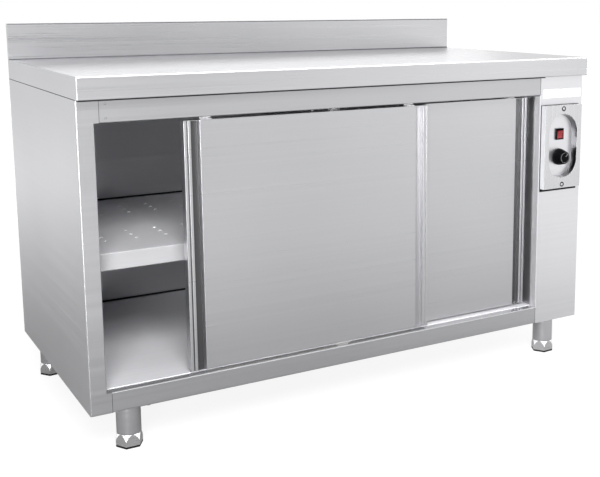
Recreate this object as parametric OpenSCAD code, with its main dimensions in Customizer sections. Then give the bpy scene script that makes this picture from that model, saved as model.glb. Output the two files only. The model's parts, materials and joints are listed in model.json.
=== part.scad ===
// Plate warmer cabinet in folded stainless sheet: two hanging sliding doors, a perforated
// shelf, a worktop with a rear upstand, and a heater column with its controls at the right.
// Inside the modules x runs from the left side, y from the worktop's front edge, z from the
// floor. place() then puts the origin under the middle of the whole object.

/* [Cabinet] */
// Overall width
cabinet_w = 1400; // [1200:10:1800]
// Overall depth of the worktop
cabinet_d = 700; // [600:10:800]
// Height of the worktop's surface above the floor
worktop_h = 850; // [800:5:900]
// Height of the body's lower edge above the floor
body_z = 102; // [90:1:140]
// Thickness of the folded stainless sheet
sheet = 1.2; // [1:0.1:2]
// Inner radius of a fold
bend_r = 1.5; // [1:0.1:3]

/* [Worktop] */
// Height of the worktop's folded edge
worktop_edge = 50; // [40:1:70]
// Height of the rear upstand above the worktop
upstand_h = 95; // [60:1:150]
// Thickness of the folded upstand
upstand_t = 15; // [10:1:25]
// Overhang of the worktop in front of the body
overhang = 20; // [10:1:40]
// Width of the return under the worktop's edge
edge_return = 14; // [8:1:18]
// Thickness of the board bonded under the sheet
board_t = 18; // [12:1:22]

/* [Body] */
// Width of the left post, which holds the insulated side wall
post_w = 38; // [30:1:60]
// Width of the post where it backs the rails
post_tab_w = 49; // [40:1:80]
// Width of the heater column at the right
column_w = 149; // [145:1:220]
// Height of the top front rail
top_rail_h = 51; // [48:1:80]
// Height of the bottom front rail
bottom_rail_h = 47; // [40:1:70]
// Depth of the ledge on the bottom rail
ledge_d = 30; // [24:1:36]
// Width of the hidden flanges that join the panels
flange_w = 18; // [12:1:25]
// Width of the bearers under the floor
bearer_w = 60; // [50:1:80]

/* [Shelf] */
// Height of the shelf's surface above the floor
shelf_z = 448; // [350:1:520]
// Height of the shelf's folded front edge
shelf_edge = 41; // [30:1:60]
// Set-back of the shelf's edge behind the worktop's edge
shelf_setback = 90; // [88:1:140]
// Diameter of the air holes
hole_d = 8; // [5:0.5:12]
// Distance between the groups of holes
hole_pitch_x = 72.6; // [60:0.1:100]
// Distance between the holes of a group
hole_pitch_y = 42; // [30:1:55]
// Distance from the shelf's middle line to each row of groups
hole_row_y = 148; // [130:1:170]
// Distance from the shelf's end to the first group
hole_margin = 62; // [40:1:90]

/* [Doors] */
// Width of each door
door_w = 656; // [560:1:900]
// Thickness of each door
door_t = 24; // [20:1:25]
// Gap between the door and the top rail
door_top_gap = 8; // [6:0.5:14]
// Gap between the door and the floor sheet
door_floor_gap = 4.8; // [4:0.1:8]
// Set-back of the front door's face behind the body's face
door_setback = 13; // [12.5:0.5:16]
// Distance between the two doors' faces
lane_pitch = 27; // [26:0.5:32]
// Distance of a closed door from the side of the opening
door_end_gap = 13; // [10:1:20]
// Distance that the front door stands open at rest
front_door_open = 187.5; // [0:0.5:300]
// Width of the bead at a door's end
bead_w = 7; // [6:0.5:9]
// Width and depth of the narrow groove beside the bead
bead_groove = 3; // [2.5:0.5:4]
// Width of the finger channel
finger_w = 21; // [16:1:26]
// Depth of the finger channel
finger_d = 14; // [8:0.5:15]
// Thickness of the door sheets
door_sheet = 1; // [0.8:0.1:1.2]

/* [Door hangers] */
// Width of a hanger plate
hanger_w = 26; // [24:1:36]
// Thickness of a hanger plate
hanger_t = 3; // [2:0.5:3]
// Distance from the door's end to the hanger plate
hanger_inset = 42; // [40:1:80]
// Diameter of a nylon roller
roller_d = 24; // [18:1:26]
// Width of a nylon roller
roller_w = 6; // [5:0.5:6.5]
// Diameter of the roller's axle
axle_d = 6; // [4:0.5:8]
// Wall of the track
track_wall = 1.5; // [1:0.1:2]
// Width of the slot under the track
track_slot = 8; // [7:0.5:9]
// Height of the track's running lip above the rail's lower edge
track_rise = 3; // [2:0.5:6]
// Length of a rubber stop in the track
stop_len = 20; // [12:1:25]
// Thickness of the guide fin under a door
fin_t = 5; // [4:0.5:6]
// Length of the guide fin
fin_len = 30; // [20:1:34]

/* [Controls] */
// Width of the raised cover
cover_w = 130; // [120:1:134]
// Height of the raised cover
cover_h = 231.5; // [215:0.5:260]
// Projection of the raised cover
cover_p = 18; // [12:1:22]
// Distance of the cover's left edge from the column's left edge
cover_inset = 5; // [4:1:12]
// Distance of the cover's top from the worktop's surface
cover_drop = 129.5; // [110:0.5:160]
// Width of the recess at the cover's face
recess_w = 100; // [90:1:104]
// Height of the recess at the cover's face
recess_h = 178; // [170:1:190]
// Draft of the recess wall
recess_draft = 4; // [2:0.5:6]
// Width of the switch
switch_w = 26; // [22:1:30]
// Height of the switch
switch_h = 31; // [28:1:34]
// Projection of the switch's bezel
switch_p = 5; // [3:0.5:6]
// Height of the switch's middle above the recess's middle
switch_up = 32; // [28:1:40]
// Tilt of the rocker from its middle position
rocker_tilt = 9; // [6:0.5:10]
// Diameter of the knob at its skirt
knob_d = 46; // [38:1:50]
// Diameter of the knob at its face
knob_face_d = 34; // [26:1:36]
// Length of the knob
knob_len = 27; // [23:0.5:30]
// Depth of the knob's middle below the recess's middle
knob_down = 32; // [30:1:38]
// Diameter of the thermostat's spindle
spindle_d = 6; // [5:0.5:8]

/* [Legs] */
// Diameter of a leg tube
leg_d = 56; // [45:1:60]
// Wall of a leg tube
leg_wall = 1.5; // [1:0.1:3]
// Width of a hexagonal foot across its corners
foot_d = 63; // [56:1:70]
// Height of a hexagonal foot with its pad
foot_h = 32; // [26:1:40]
// Height of the foot's full hexagon above the floor
foot_full_h = 17; // [12:1:20]
// Thickness of the dark pad
pad_t = 5; // [2:0.5:6]
// Distance of the front left leg from the side
leg_x_left = 96; // [70:1:140]
// Distance of the front right leg from the side
leg_x_right = 82; // [70:1:140]
// Distance of the rear legs from the sides
leg_x_rear = 50; // [48:1:120]
// Distance of the front legs from the worktop's front edge
leg_y_front = 65; // [62:1:100]
// Distance of the rear legs from the back
leg_y_rear = 82; // [60:1:140]
// Side of the square leg plate
leg_plate = 86; // [80:1:86]
// Diameter of the foot's threaded stem
stem_d = 16; // [10:1:20]

/* [Heater] */
// Diameter of the fan wheel
fan_d = 150; // [120:1:160]
// Number of fan blades
fan_blades = 16; // [8:1:24]
// Depth of the fan wheel
fan_depth = 32; // [24:1:36]
// Height of the fan's axis above the floor
fan_z = 300; // [280:1:330]
// Mean diameter of the ring heating element
heater_d = 178; // [174:1:184]
// Diameter of the element's tube
heater_tube = 8; // [6:0.5:9]
// Side of the square shroud round the fan
shroud_w = 216; // [204:1:240]
// Depth of the shroud
shroud_depth = 50; // [46:1:56]
// Diameter of the motor
motor_d = 86; // [70:1:100]
// Length of the motor
motor_len = 62; // [50:1:70]
// Diameter of the motor's shaft
shaft_d = 8; // [6:0.5:10]

/* [Hidden] */
$fn = 96;

steel = [0.76, 0.77, 0.79];
inner_steel = [0.62, 0.63, 0.65];
black = [0.07, 0.07, 0.08];
// Clearance between pieces that are fitted side by side
fit = 0.3;
// Radial clearance of a shaft in its bore
bore_fit = 0.05;

// Heights
body_top = worktop_h - worktop_edge;
opening_z = body_z + bottom_rail_h;
opening_top = body_top - top_rail_h;
floor_top = opening_z + sheet;
door_z = floor_top + door_floor_gap;
door_h = opening_top - door_top_gap - door_z;
// Folded edges: returns behind the front, turned-down edges, brims of the hat channels
front_return = 24;
down_edge = 25;
edge_fold = 15;
hat_brim = 12;
ledge_lip = 9;
ledge_lap = 6;
board_inset = 5;
board_z = worktop_h - sheet - board_t;
// Widths and depths
face_y = overhang;
inner_y = face_y + front_return + 2;
back_y = cabinet_d - sheet;
column_x = cabinet_w - column_w;
partition_x = column_x + sheet;
floor_y = face_y + ledge_d - ledge_lap;
opening_w = column_x - post_w;
lane_y = [face_y + door_setback + door_t / 2, face_y + door_setback + lane_pitch + door_t / 2];
door_closed_x = [post_w + door_end_gap, column_x - door_end_gap - door_w];
door_x = [door_closed_x[0] + front_door_open, door_closed_x[1]];
lane_front = lane_y[0] - lane_pitch / 2 - track_wall / 2;
lane_back = lane_y[1] + lane_pitch / 2 + track_wall / 2;
// Track and rollers
lip_z = opening_top + track_rise + track_wall;
axle_z = lip_z + roller_d / 2 + fit;
hanger_mid = hanger_inset + hanger_w / 2;
axle_len = hanger_t + 2 * roller_w + 4 * fit;
axle_cap = 1;
guide_x = (door_closed_x[0] + door_w + door_closed_x[1]) / 2;
fin_top = door_z + 11;
guide_slot_w = fin_t + 2;
// Controls
cover_x = column_x + cover_inset;
control_x = cover_x + cover_w / 2;
cover_top = worktop_h - cover_drop;
control_z = cover_top - cover_h / 2 + 2;
switch_z = control_z + switch_up;
knob_z = control_z - knob_down;
screw_edge = 10;
screw_head_d = 9;
screw_d = 4;
knob_gap = 1;
// Legs
leg_pos = [[leg_x_left, leg_y_front], [cabinet_w - leg_x_right, leg_y_front],
    [leg_x_rear, cabinet_d - leg_y_rear], [cabinet_w - leg_x_rear, cabinet_d - leg_y_rear]];
foot_turn = [0, 3, 6, 2];
leg_plate_t = 3;
bearer_z = body_z + 5;
leg_top = bearer_z - leg_plate_t;
socket_t = 12;
socket_wall = 6;
bolt_inset = 9;
bolt_d = 6.5;
bush_h = 14;
stem_top = foot_h + 40;
bearer_x = post_w + sheet + bend_r;
bearer_y = [face_y + ledge_d + sheet + fit, cabinet_d - leg_y_rear - bearer_w / 2];
// Heater column
fan_y = cabinet_d * 0.56;
shroud_x = partition_x + sheet;
shroud_back = shroud_x + shroud_depth;
fan_x = shroud_x + 8;
// Origin under the middle of the whole object
knob_front = face_y - knob_gap - knob_len;
front_y = min(0, knob_front);
origin = [cabinet_w / 2, (cabinet_d + front_y) / 2, 0];

// --- Folded sheet ---------------------------------------------------------------------------

function unit(v) = v / norm(v);
function normal(v) = [-v[1], v[0]];

// One rounded corner of a path: the points of its arc, from three corners of the plain path
function corner(a, b, c, r, steps = 3) =
    let (u = unit(a - b), v = unit(c - b), half = acos(max(-1, min(1, u * v))) / 2,
         cut = r / tan(half), mid = b + unit(u + v) * r / sin(half),
         from = b + u * cut - mid, turn = (cross(u, v) > 0 ? -1 : 1) * (180 - 2 * half))
    [for (i = [0:steps]) let (k = turn * i / steps)
        mid + [from[0] * cos(k) - from[1] * sin(k), from[0] * sin(k) + from[1] * cos(k)]];

// A path with its inner corners rounded
function rounded(p, r) = concat([p[0]],
    [for (i = [1:len(p) - 2]) each corner(p[i - 1], p[i], p[i + 1], r)], [p[len(p) - 1]]);

// The point that lies t to the left of corner i of a path
function shifted(p, i, t) = let (n = len(p) - 1,
    a = normal(unit(p[max(i, 1)] - p[max(i, 1) - 1])),
    b = normal(unit(p[min(i + 1, n)] - p[min(i, n - 1)])))
    p[i] + (a + b) * t / (1 + a * b);

// The closed outline of a sheet of thickness t that lies to the left of its path
function strip(p, t) = concat(p, [for (i = [len(p) - 1:-1:0]) shifted(p, i, t)]);

// A folded sheet: the path lies on its outer face, the thickness to its left
module folded(path, length, t = sheet, r = bend_r)
    linear_extrude(length) polygon(strip(rounded(path, r + abs(t)), t));

// A folded sheet whose section lies in the y-z plane and which runs along +x
module folded_x(path, x, length, t = sheet, r = bend_r)
    translate([x, 0, 0]) rotate([90, 0, 90]) folded(path, length, t, r);

// A folded sheet whose section lies in the x-z plane and which runs along +y
module folded_y(path, y, length, t = sheet, r = bend_r)
    translate([0, y + length, 0]) rotate([90, 0, 0]) folded(path, length, t, r);

module box(x0, x1, y0, y1, z0, z1) translate([x0, y0, z0]) cube([x1 - x0, y1 - y0, z1 - z0]);

module place() translate(-origin) children();

// A slot with round ends, cut along an axis; w is its length, d its width
module slot(w, d, h) linear_extrude(h, center = true) {
    square([w - d, d], center = true);
    for (s = [-1, 1]) translate([s * (w - d) / 2, 0]) circle(d = d, $fn = 24);
}

// --- Worktop --------------------------------------------------------------------------------

module worktop() color(steel) place() {
    folded_x([[edge_return, body_top], [0, body_top], [0, worktop_h],
        [cabinet_d - upstand_t, worktop_h], [cabinet_d - upstand_t, worktop_h + upstand_h],
        [cabinet_d, worktop_h + upstand_h], [cabinet_d, body_top]], 0, cabinet_w, t = -sheet);
    for (side = [0, 1]) {
        x = side * (cabinet_w - sheet);
        box(x, x + sheet, sheet, cabinet_d - sheet, body_top, worktop_h - sheet);
        box(x, x + sheet, cabinet_d - upstand_t + sheet, cabinet_d - sheet,
            worktop_h - sheet, worktop_h + upstand_h - sheet);
    }
}

module worktop_board() color("tan") place()
    box(sheet, cabinet_w - sheet, edge_return + board_inset, cabinet_d - upstand_t - board_inset,
        board_z, worktop_h - sheet);

module worktop_bearers() color(inner_steel) place()
    for (y = [face_y + front_return, cabinet_d / 2, cabinet_d - upstand_t - bearer_w - hat_brim])
        hat(y, bearer_w, body_top, board_z, sheet + fit, cabinet_w - 2 * (sheet + fit));

// A hat channel along x: y0 is its near edge, w its width over the brims
module hat(y0, w, z0, z1, x, length)
    folded_x([[y0, z0 + sheet], [y0 + hat_brim, z0 + sheet], [y0 + hat_brim, z1],
        [y0 + w - hat_brim, z1], [y0 + w - hat_brim, z0 + sheet], [y0 + w, z0 + sheet]],
        x, length, t = -sheet);

// --- Body -----------------------------------------------------------------------------------

module left_side_panel() color(steel) place() {
    translate([0, 0, body_z]) folded([[post_w, face_y + front_return], [post_w, face_y], [0, face_y],
        [0, back_y], [flange_w, back_y]], body_top - body_z, t = -sheet);
    for (z = [[body_z, bottom_rail_h], [opening_top, top_rail_h]])
        box(post_w - bend_r - sheet, post_tab_w, face_y, face_y + sheet, z[0], z[0] + z[1]);
}

module left_inner_wall() color(inner_steel) place()
    translate([0, 0, floor_top]) folded([[flange_w, inner_y], [post_w, inner_y],
        [post_w, back_y]], body_top - sheet - floor_top, t = sheet);

module left_insulation() color("khaki") place()
    box(flange_w + sheet, post_w - sheet, inner_y + sheet + bend_r, back_y - sheet, floor_top,
        body_top - sheet);

module right_side_panel() color(steel) place()
    translate([0, 0, body_z]) folded([[cabinet_w - flange_w, face_y + sheet],
        [cabinet_w, face_y + sheet], [cabinet_w, back_y], [cabinet_w - flange_w, back_y]],
        body_top - body_z, t = sheet);

// Air slots of the heater column, as seen from behind
vent_len = 70;
vent_h = 5;
vent_pitch = 14;
vent_count = 8;
vent_drop = 60;

module vents(x, z) for (i = [0:vent_count - 1])
    translate([x, 0, z + i * vent_pitch]) rotate([90, 0, 0]) slot(vent_len, vent_h, 20);

module rear_panel() color(steel) place() difference() {
    box(0, cabinet_w, back_y, cabinet_d, body_z, body_top);
    for (z = [fan_z - vent_count * vent_pitch / 2, body_top - vent_drop - vent_count * vent_pitch])
        translate([0, back_y, 0]) vents(cabinet_w - column_w / 2, z);
}

module ceiling_panel() color(inner_steel) place()
    box(post_w - sheet, partition_x, lane_back + fit, back_y, body_top - sheet, body_top);

// Its right down edge stops at the rail's ledge and is notched for the bearers
module floor_panel() color(inner_steel) place() difference() {
    folded_y([[post_w, floor_top - down_edge], [post_w, floor_top],
        [partition_x, floor_top], [partition_x, floor_top - down_edge]],
        floor_y, back_y - floor_y, t = -sheet);
    for (y = [[floor_y - 1, bearer_y[0]], bearer_y])
        box(partition_x - sheet - bend_r, partition_x + 1, y[0] - fit, y[1] + bearer_w + fit,
            bearer_z, opening_z);
}

module floor_bearers() color(inner_steel) place() for (y = bearer_y)
    hat(y, bearer_w, bearer_z, opening_z, bearer_x, cabinet_w - flange_w - bearer_x);

module bottom_rail() color(steel) place()
    folded_x([[face_y + edge_fold, body_z], [face_y, body_z], [face_y, opening_z],
        [face_y + ledge_d, opening_z], [face_y + ledge_d, opening_z - ledge_lip]],
        post_tab_w, column_x - post_tab_w, t = -sheet);

module top_rail() color(steel) place()
    folded_x([[lane_front, opening_top], [face_y, opening_top], [face_y, body_top],
        [lane_back, body_top]], post_tab_w, column_x - post_tab_w, t = -sheet);

// --- Door track -----------------------------------------------------------------------------

track_x = post_w + sheet;
track_len = column_x - track_x;
track_top = body_top - sheet;

module door_track() color("silver") place() translate([track_x, 0, 0]) rotate([90, 0, 90])
    linear_extrude(track_len) difference() {
        translate([lane_front, lip_z - track_wall])
            square([lane_back - lane_front, track_top - lip_z + track_wall]);
        for (y = lane_y) {
            lane_w = lane_pitch - track_wall;
            translate([y - lane_w / 2, lip_z])
                square([lane_w, track_top - lip_z - track_wall]);
            translate([y - track_slot / 2, lip_z - 2 * track_wall])
                square([track_slot, 3 * track_wall]);
        }
    }

stop_screw = 5;

module track_stops() color(black) place() for (lane = [0, 1]) {
    y = lane_y[lane];
    half = (lane_pitch - track_wall) / 2 - fit;
    first = door_closed_x[0] + hanger_inset - fit;
    last = door_closed_x[1] + door_w - hanger_inset + fit;
    for (x = [first - stop_len, last])
        difference() {
            box(x, x + stop_len, y - half, y + half, lip_z, axle_z + roller_d / 4);
            translate([x + stop_len / 2, y, axle_z]) cylinder(d = stop_screw, h = roller_d, $fn = 24);
        }
}

guide_rim = 5;
guide_base = 2;

module door_guide() color("ivory") place() {
    box(guide_x - fin_len / 2 - guide_rim, guide_x + fin_len / 2 + guide_rim,
        max(floor_y, lane_y[0] - guide_rim), lane_y[1] + guide_rim + 3,
        floor_top, floor_top + guide_base);
    for (y = lane_y) translate([guide_x, y, floor_top + guide_base])
        slot_post(fin_len, fin_t, fin_top - floor_top - guide_base);
}

module slot_post(w, d, h) linear_extrude(h) {
    square([w - d, d], center = true);
    for (s = [-1, 1]) translate([s * (w - d) / 2, 0]) circle(d = d, $fn = 32);
}

// --- Doors ----------------------------------------------------------------------------------

// Each door is modelled with its lower left front corner at the origin
module at_door(lane) place()
    translate([door_x[lane], lane_y[lane] - door_t / 2, door_z]) children();

channel_x = 2 * bead_w + bead_groove;
channel_end = channel_x + finger_w;
skin_d = door_t - door_sheet;
liner_lap = 7;
core_x = channel_end + 2 * door_sheet;

// The left half of the door skin's section, from its rear edge to the face
function skin_end() = [[0, skin_d], [0, 0], [bead_w, 0], [bead_w, bead_groove],
    [bead_w + bead_groove, bead_groove], [bead_w + bead_groove, 0], [channel_x, 0],
    [channel_x, finger_d], [channel_end, finger_d], [channel_end, 0]];

function mirrored(p) = [for (i = [len(p) - 1:-1:0]) [door_w - p[i][0], p[i][1]]];

function skin_path() = rounded(concat(skin_end(), mirrored(skin_end())), door_sheet + 0.2);

module door_skin() {
    linear_extrude(door_h) polygon(strip(skin_path(), door_sheet));
    for (z = [0, door_h - door_sheet]) difference() {
        translate([0, 0, z]) cube([door_w, skin_d, door_sheet]);
        if (z == 0) translate([channel_end + 3, (door_t - guide_slot_w) / 2, -1])
            cube([door_w - 2 * channel_end - 6, guide_slot_w, 3 * door_sheet]);
    }
}

module door_liner() translate([0, 0, door_sheet])
    folded([[door_sheet, skin_d - liner_lap], [door_sheet, door_t],
        [door_w - door_sheet, door_t], [door_w - door_sheet, skin_d - liner_lap]],
        door_h - 2 * door_sheet, t = -door_sheet, r = 0.5);

module door_core() difference() {
    translate([core_x, door_sheet, door_sheet])
        cube([door_w - 2 * core_x, skin_d - door_sheet, door_h - 2 * door_sheet]);
    translate([channel_end, (door_t - guide_slot_w) / 2 - 1, 0])
        cube([door_w - 2 * channel_end, guide_slot_w + 2, fin_top - door_z + 3]);
}

// A hanger is an angle on the door's top with the roller axle riveted through it
module door_hangers() for (x = [hanger_mid, door_w - hanger_mid]) translate([x, 0, 0]) {
    foot_y = door_t / 2 - 9;
    plate_y = (door_t - hanger_t) / 2;
    rivet_d = 4;
    rivet_x = hanger_w / 2 - 5;
    difference() {
        union() {
            translate([-hanger_w / 2, foot_y, door_h]) cube([hanger_w, door_t / 2, 2]);
            translate([-hanger_w / 2, plate_y, door_h])
                cube([hanger_w, hanger_t, axle_z - door_z - door_h]);
            translate([0, plate_y, axle_z - door_z]) rotate([-90, 0, 0])
                cylinder(d = hanger_w - 8, h = hanger_t);
        }
        for (s = [-1, 1]) translate([s * rivet_x, foot_y + rivet_d, door_h - 1])
            cylinder(d = rivet_d, h = 4, $fn = 24);
    }
    translate([0, (door_t - axle_len) / 2, axle_z - door_z]) rotate([-90, 0, 0]) {
        cylinder(d = axle_d, h = axle_len);
        for (z = [-axle_cap, axle_len]) translate([0, 0, z])
            cylinder(d = axle_d + 3, h = axle_cap);
    }
}

// The two nylon rollers on one axle
module rollers(x) for (s = [-1, 1])
    translate([x, door_t / 2 + s * (hanger_t / 2 + fit + roller_w / 2), axle_z - door_z])
        rotate([90, 0, 0]) difference() {
            rotate_extrude() polygon([[axle_d / 2 + bore_fit, -roller_w / 2],
                [roller_d / 2 - 1, -roller_w / 2], [roller_d / 2, 1 - roller_w / 2],
                [roller_d / 2, roller_w / 2 - 1], [roller_d / 2 - 1, roller_w / 2],
                [axle_d / 2 + bore_fit, roller_w / 2]]);
            for (a = [0:60:300]) rotate(a) translate([roller_d / 3, 0, 0])
                cylinder(d = 3, h = 2 * roller_w, center = true, $fn = 24);
        }

module front_door_skin() color(steel) at_door(0) door_skin();
module front_door_liner() color(inner_steel) at_door(0) door_liner();
module front_door_core() color("khaki") at_door(0) door_core();
module front_door_hangers() color(steel) at_door(0) door_hangers();
module front_roller_left() color("ivory") at_door(0) rollers(hanger_mid);
module front_roller_right() color("ivory") at_door(0) rollers(door_w - hanger_mid);
module rear_door_skin() color(steel) at_door(1) door_skin();
module rear_door_liner() color(inner_steel) at_door(1) door_liner();
module rear_door_core() color("khaki") at_door(1) door_core();
module rear_door_hangers() color(steel) at_door(1) door_hangers();
module rear_roller_left() color("ivory") at_door(1) rollers(hanger_mid);
module rear_roller_right() color("ivory") at_door(1) rollers(door_w - hanger_mid);

// --- Shelf ----------------------------------------------------------------------------------

shelf_x = [post_w + fit, partition_x - fit];
shelf_y = [shelf_setback, back_y - sheet - fit];
bracket_w = 24;
stiffener_h = 22;
shelf_mid = (shelf_y[0] + shelf_y[1]) / 2;
hole_groups = floor((shelf_x[1] - shelf_x[0] - 2 * hole_margin) / hole_pitch_x);
hole_first = (shelf_x[0] + shelf_x[1] - hole_groups * hole_pitch_x) / 2;

module shelf() color(inner_steel) place() difference() {
    folded_x([[shelf_y[0] + edge_fold, shelf_z - shelf_edge],
        [shelf_y[0], shelf_z - shelf_edge], [shelf_y[0], shelf_z], [shelf_y[1], shelf_z],
        [shelf_y[1], shelf_z - down_edge]],
        shelf_x[0], shelf_x[1] - shelf_x[0], t = -sheet);
    for (i = [0:hole_groups], row = [-1, 1], k = [-1:1])
        translate([hole_first + i * hole_pitch_x,
            shelf_mid + row * hole_row_y + k * hole_pitch_y, shelf_z - 2 * sheet])
            cylinder(d = hole_d, h = 4 * sheet, $fn = 24);
}

module shelf_brackets() color(inner_steel) place() for (side = [0, 1]) {
    wall = side == 0 ? post_w : partition_x;
    inward = side == 0 ? 1 : -1;
    z = shelf_z - sheet;
    folded_y([[wall, z - down_edge], [wall, z], [wall + inward * bracket_w, z]],
        shelf_y[0] + bracket_w, shelf_y[1] - shelf_y[0] - 2 * bracket_w, t = -inward * sheet);
}

// A hat channel turned upside down, so that its brims are welded under the shelf
module shelf_stiffener() color(inner_steel) place()
    translate([0, 2 * shelf_mid, 2 * (shelf_z - sheet) - stiffener_h]) rotate([180, 0, 0])
        hat(shelf_mid - bearer_w / 2, bearer_w, shelf_z - sheet - stiffener_h, shelf_z - sheet,
            shelf_x[0] + bracket_w + 6, shelf_x[1] - shelf_x[0] - 2 * (bracket_w + 6));

// --- Column ---------------------------------------------------------------------------------

module column_front() color(steel) place() difference() {
    translate([0, 0, body_z]) folded([[cabinet_w, face_y], [column_x, face_y],
        [column_x, face_y + front_return]], body_top - body_z, t = -sheet);
    at_front(control_x, switch_z)
        cube([switch_w - switch_rim + 1, switch_h - switch_rim + 1, 4 * sheet], center = true);
    at_front(control_x, knob_z) cylinder(d = stat_neck + 2 * fit, h = 4 * sheet, center = true);
    for (z = screw_rows()) at_front(control_x, z)
        cylinder(d = screw_d, h = 4 * sheet, center = true);
}

function screw_rows() = [cover_top - screw_edge, cover_top - cover_h + screw_edge];

// Turns a shape so that its +z axis points out of the column's face
module at_front(x, z) translate([x, face_y, z]) rotate([90, 0, 0]) children();

// Air passes through rings of holes at the fan and through slots above and below it
inlet_rings = 4;
inlet_d = 9;
outlet_count = 12;
outlet_pitch = 22;
outlet_len = 60;
outlet_w = 5;
outlet_z = [38, 160];

// The column's inside from front to back, clear of the bends of the panels round it
column_y = [face_y + 2 * sheet + bend_r, back_y - sheet - bend_r];

module column_partition() color(inner_steel) place() difference() {
    box(partition_x, partition_x + sheet, column_y[0], back_y, floor_top, body_top - sheet);
    for (ring = [1:inlet_rings], i = [0:6 * ring - 1])
        translate([partition_x, fan_y, fan_z]) rotate([i * 60 / ring, 0, 0])
            translate([0, 0, ring * fan_d / 2 / (inlet_rings + 0.6)]) rotate([0, 90, 0])
                cylinder(d = inlet_d, h = 4 * sheet, center = true, $fn = 24);
    for (z = [body_top - outlet_z[1], opening_z + outlet_z[0]], k = [0:outlet_count - 1])
        translate([partition_x, fan_y + (k - (outlet_count - 1) / 2) * outlet_pitch, z])
            rotate([0, 90, 0]) slot(outlet_len, outlet_w, 4 * sheet);
}

module column_base() color(inner_steel) place() difference() {
    box(partition_x, cabinet_w - sheet, column_y[0], column_y[1], opening_z, floor_top);
    translate([gland_x, gland_y, opening_z])
        cylinder(d = gland_d + 2 * fit, h = 4 * sheet, center = true);
}

// --- Controls -------------------------------------------------------------------------------

// The stadium recess with drafted walls, r0 at the column's face and r1 at the cover's face
module funnel(r0, r1, h, straight) {
    for (s = [-1, 1]) translate([0, s * straight / 2, 0]) cylinder(r1 = r0, r2 = r1, h = h);
    translate([0, straight / 2, 0]) rotate([90, 0, 0]) linear_extrude(straight)
        polygon([[-r0, 0], [r0, 0], [r1, h], [-r1, h]]);
}

module control_cover() color(steel) place() translate([control_x, face_y, 0])
    rotate([90, 0, 0]) {
        mid_z = cover_top - cover_h / 2;
        straight = recess_h - recess_w;
        wall = sheet;
        difference() {
            translate([-cover_w / 2, mid_z - cover_h / 2, 0]) cube([cover_w, cover_h, cover_p]);
            difference() {
                translate([-cover_w / 2 + wall, mid_z - cover_h / 2 + wall, -1])
                    cube([cover_w - 2 * wall, cover_h - 2 * wall, cover_p - wall + 1]);
                translate([0, control_z, 0]) funnel(recess_w / 2 - recess_draft + wall,
                    recess_w / 2 + wall, cover_p, straight);
                for (z = screw_rows()) translate([0, z, 0])
                    cylinder(d = screw_d + 4, h = cover_p);
            }
            translate([0, control_z, -0.01]) funnel(recess_w / 2 - recess_draft,
                recess_w / 2 + 0.01, cover_p + 0.02, straight);
            for (z = screw_rows()) translate([0, z, -1])
                cylinder(d = screw_d + 2 * bore_fit, h = cover_p + 2);
        }
    }

module cover_screws() color(steel) place() for (z = screw_rows()) at_front(control_x, z)
    difference() {
        union() {
            translate([0, 0, -8]) cylinder(d = screw_d, h = cover_p + 8);
            translate([0, 0, cover_p]) intersection() {
                cylinder(d = screw_head_d, h = 2.6);
                translate([0, 0, -3.4]) sphere(r = 6);
            }
        }
        translate([0, 0, cover_p + 2.6]) rotate(30) cube([20, 1.2, 2.4], center = true);
    }

// The bezel's rim lies on the column; the housing behind it is switch_rim smaller
switch_rim = 4;
switch_wall = 1.2;
switch_depth = 28;
well = [switch_w - switch_rim - 2 * switch_wall, switch_h - switch_rim - 2 * switch_wall];
trunnion_d = 3;
trunnion_len = 0.8;
blade = [0.8, 6, 8];

module switch_body() color(black) place() at_front(control_x, switch_z) difference() {
    union() {
        translate([-switch_w / 2, -switch_h / 2, 0]) cube([switch_w, switch_h, switch_p]);
        translate([(switch_rim - switch_w) / 2, (switch_rim - switch_h) / 2, -switch_depth])
            cube([switch_w - switch_rim, switch_h - switch_rim, switch_depth]);
        for (x = [-6, 6], y = [-9, 9])
            translate([x - blade[0] / 2, y - blade[1] / 2, -switch_depth - blade[2]])
                cube([blade[0], blade[1], blade[2] + 1]);
    }
    translate([-well[0] / 2, -well[1] / 2, -9]) cube([well[0], well[1], 20]);
    rotate([0, 90, 0]) cylinder(d = trunnion_d + 2 * bore_fit,
        h = well[0] + 2 * (trunnion_len + bore_fit), center = true);
}

// The rocker is a shallow vee that turns on its two trunnions
rocker_w = well[0] - 2 * fit;
rocker_half = well[1] / 2 - 1.4;
rocker_rise = 2.4;

module switch_rocker() color("red") place() at_front(control_x, switch_z)
    rotate([rocker_tilt, 0, 0]) rotate([90, 0, 90]) {
        linear_extrude(rocker_w, center = true)
            polygon([[2 - rocker_half, -3], [rocker_half - 2, -3],
                [rocker_half, switch_p + rocker_rise],
                [rocker_half / 2, switch_p + rocker_rise * 0.3], [0, switch_p],
                [-rocker_half / 2, switch_p + rocker_rise * 0.3],
                [-rocker_half, switch_p + rocker_rise]]);
        cylinder(d = trunnion_d, h = well[0] + 2 * trunnion_len, center = true);
    }

// A pointer knob with flutes round its skirt
knob_rim = 4;
knob_skirt = 7;
knob_bore = 20;
flute_r = 5;
flute_in = 1.6;
pointer_w = 1.4;

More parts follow.
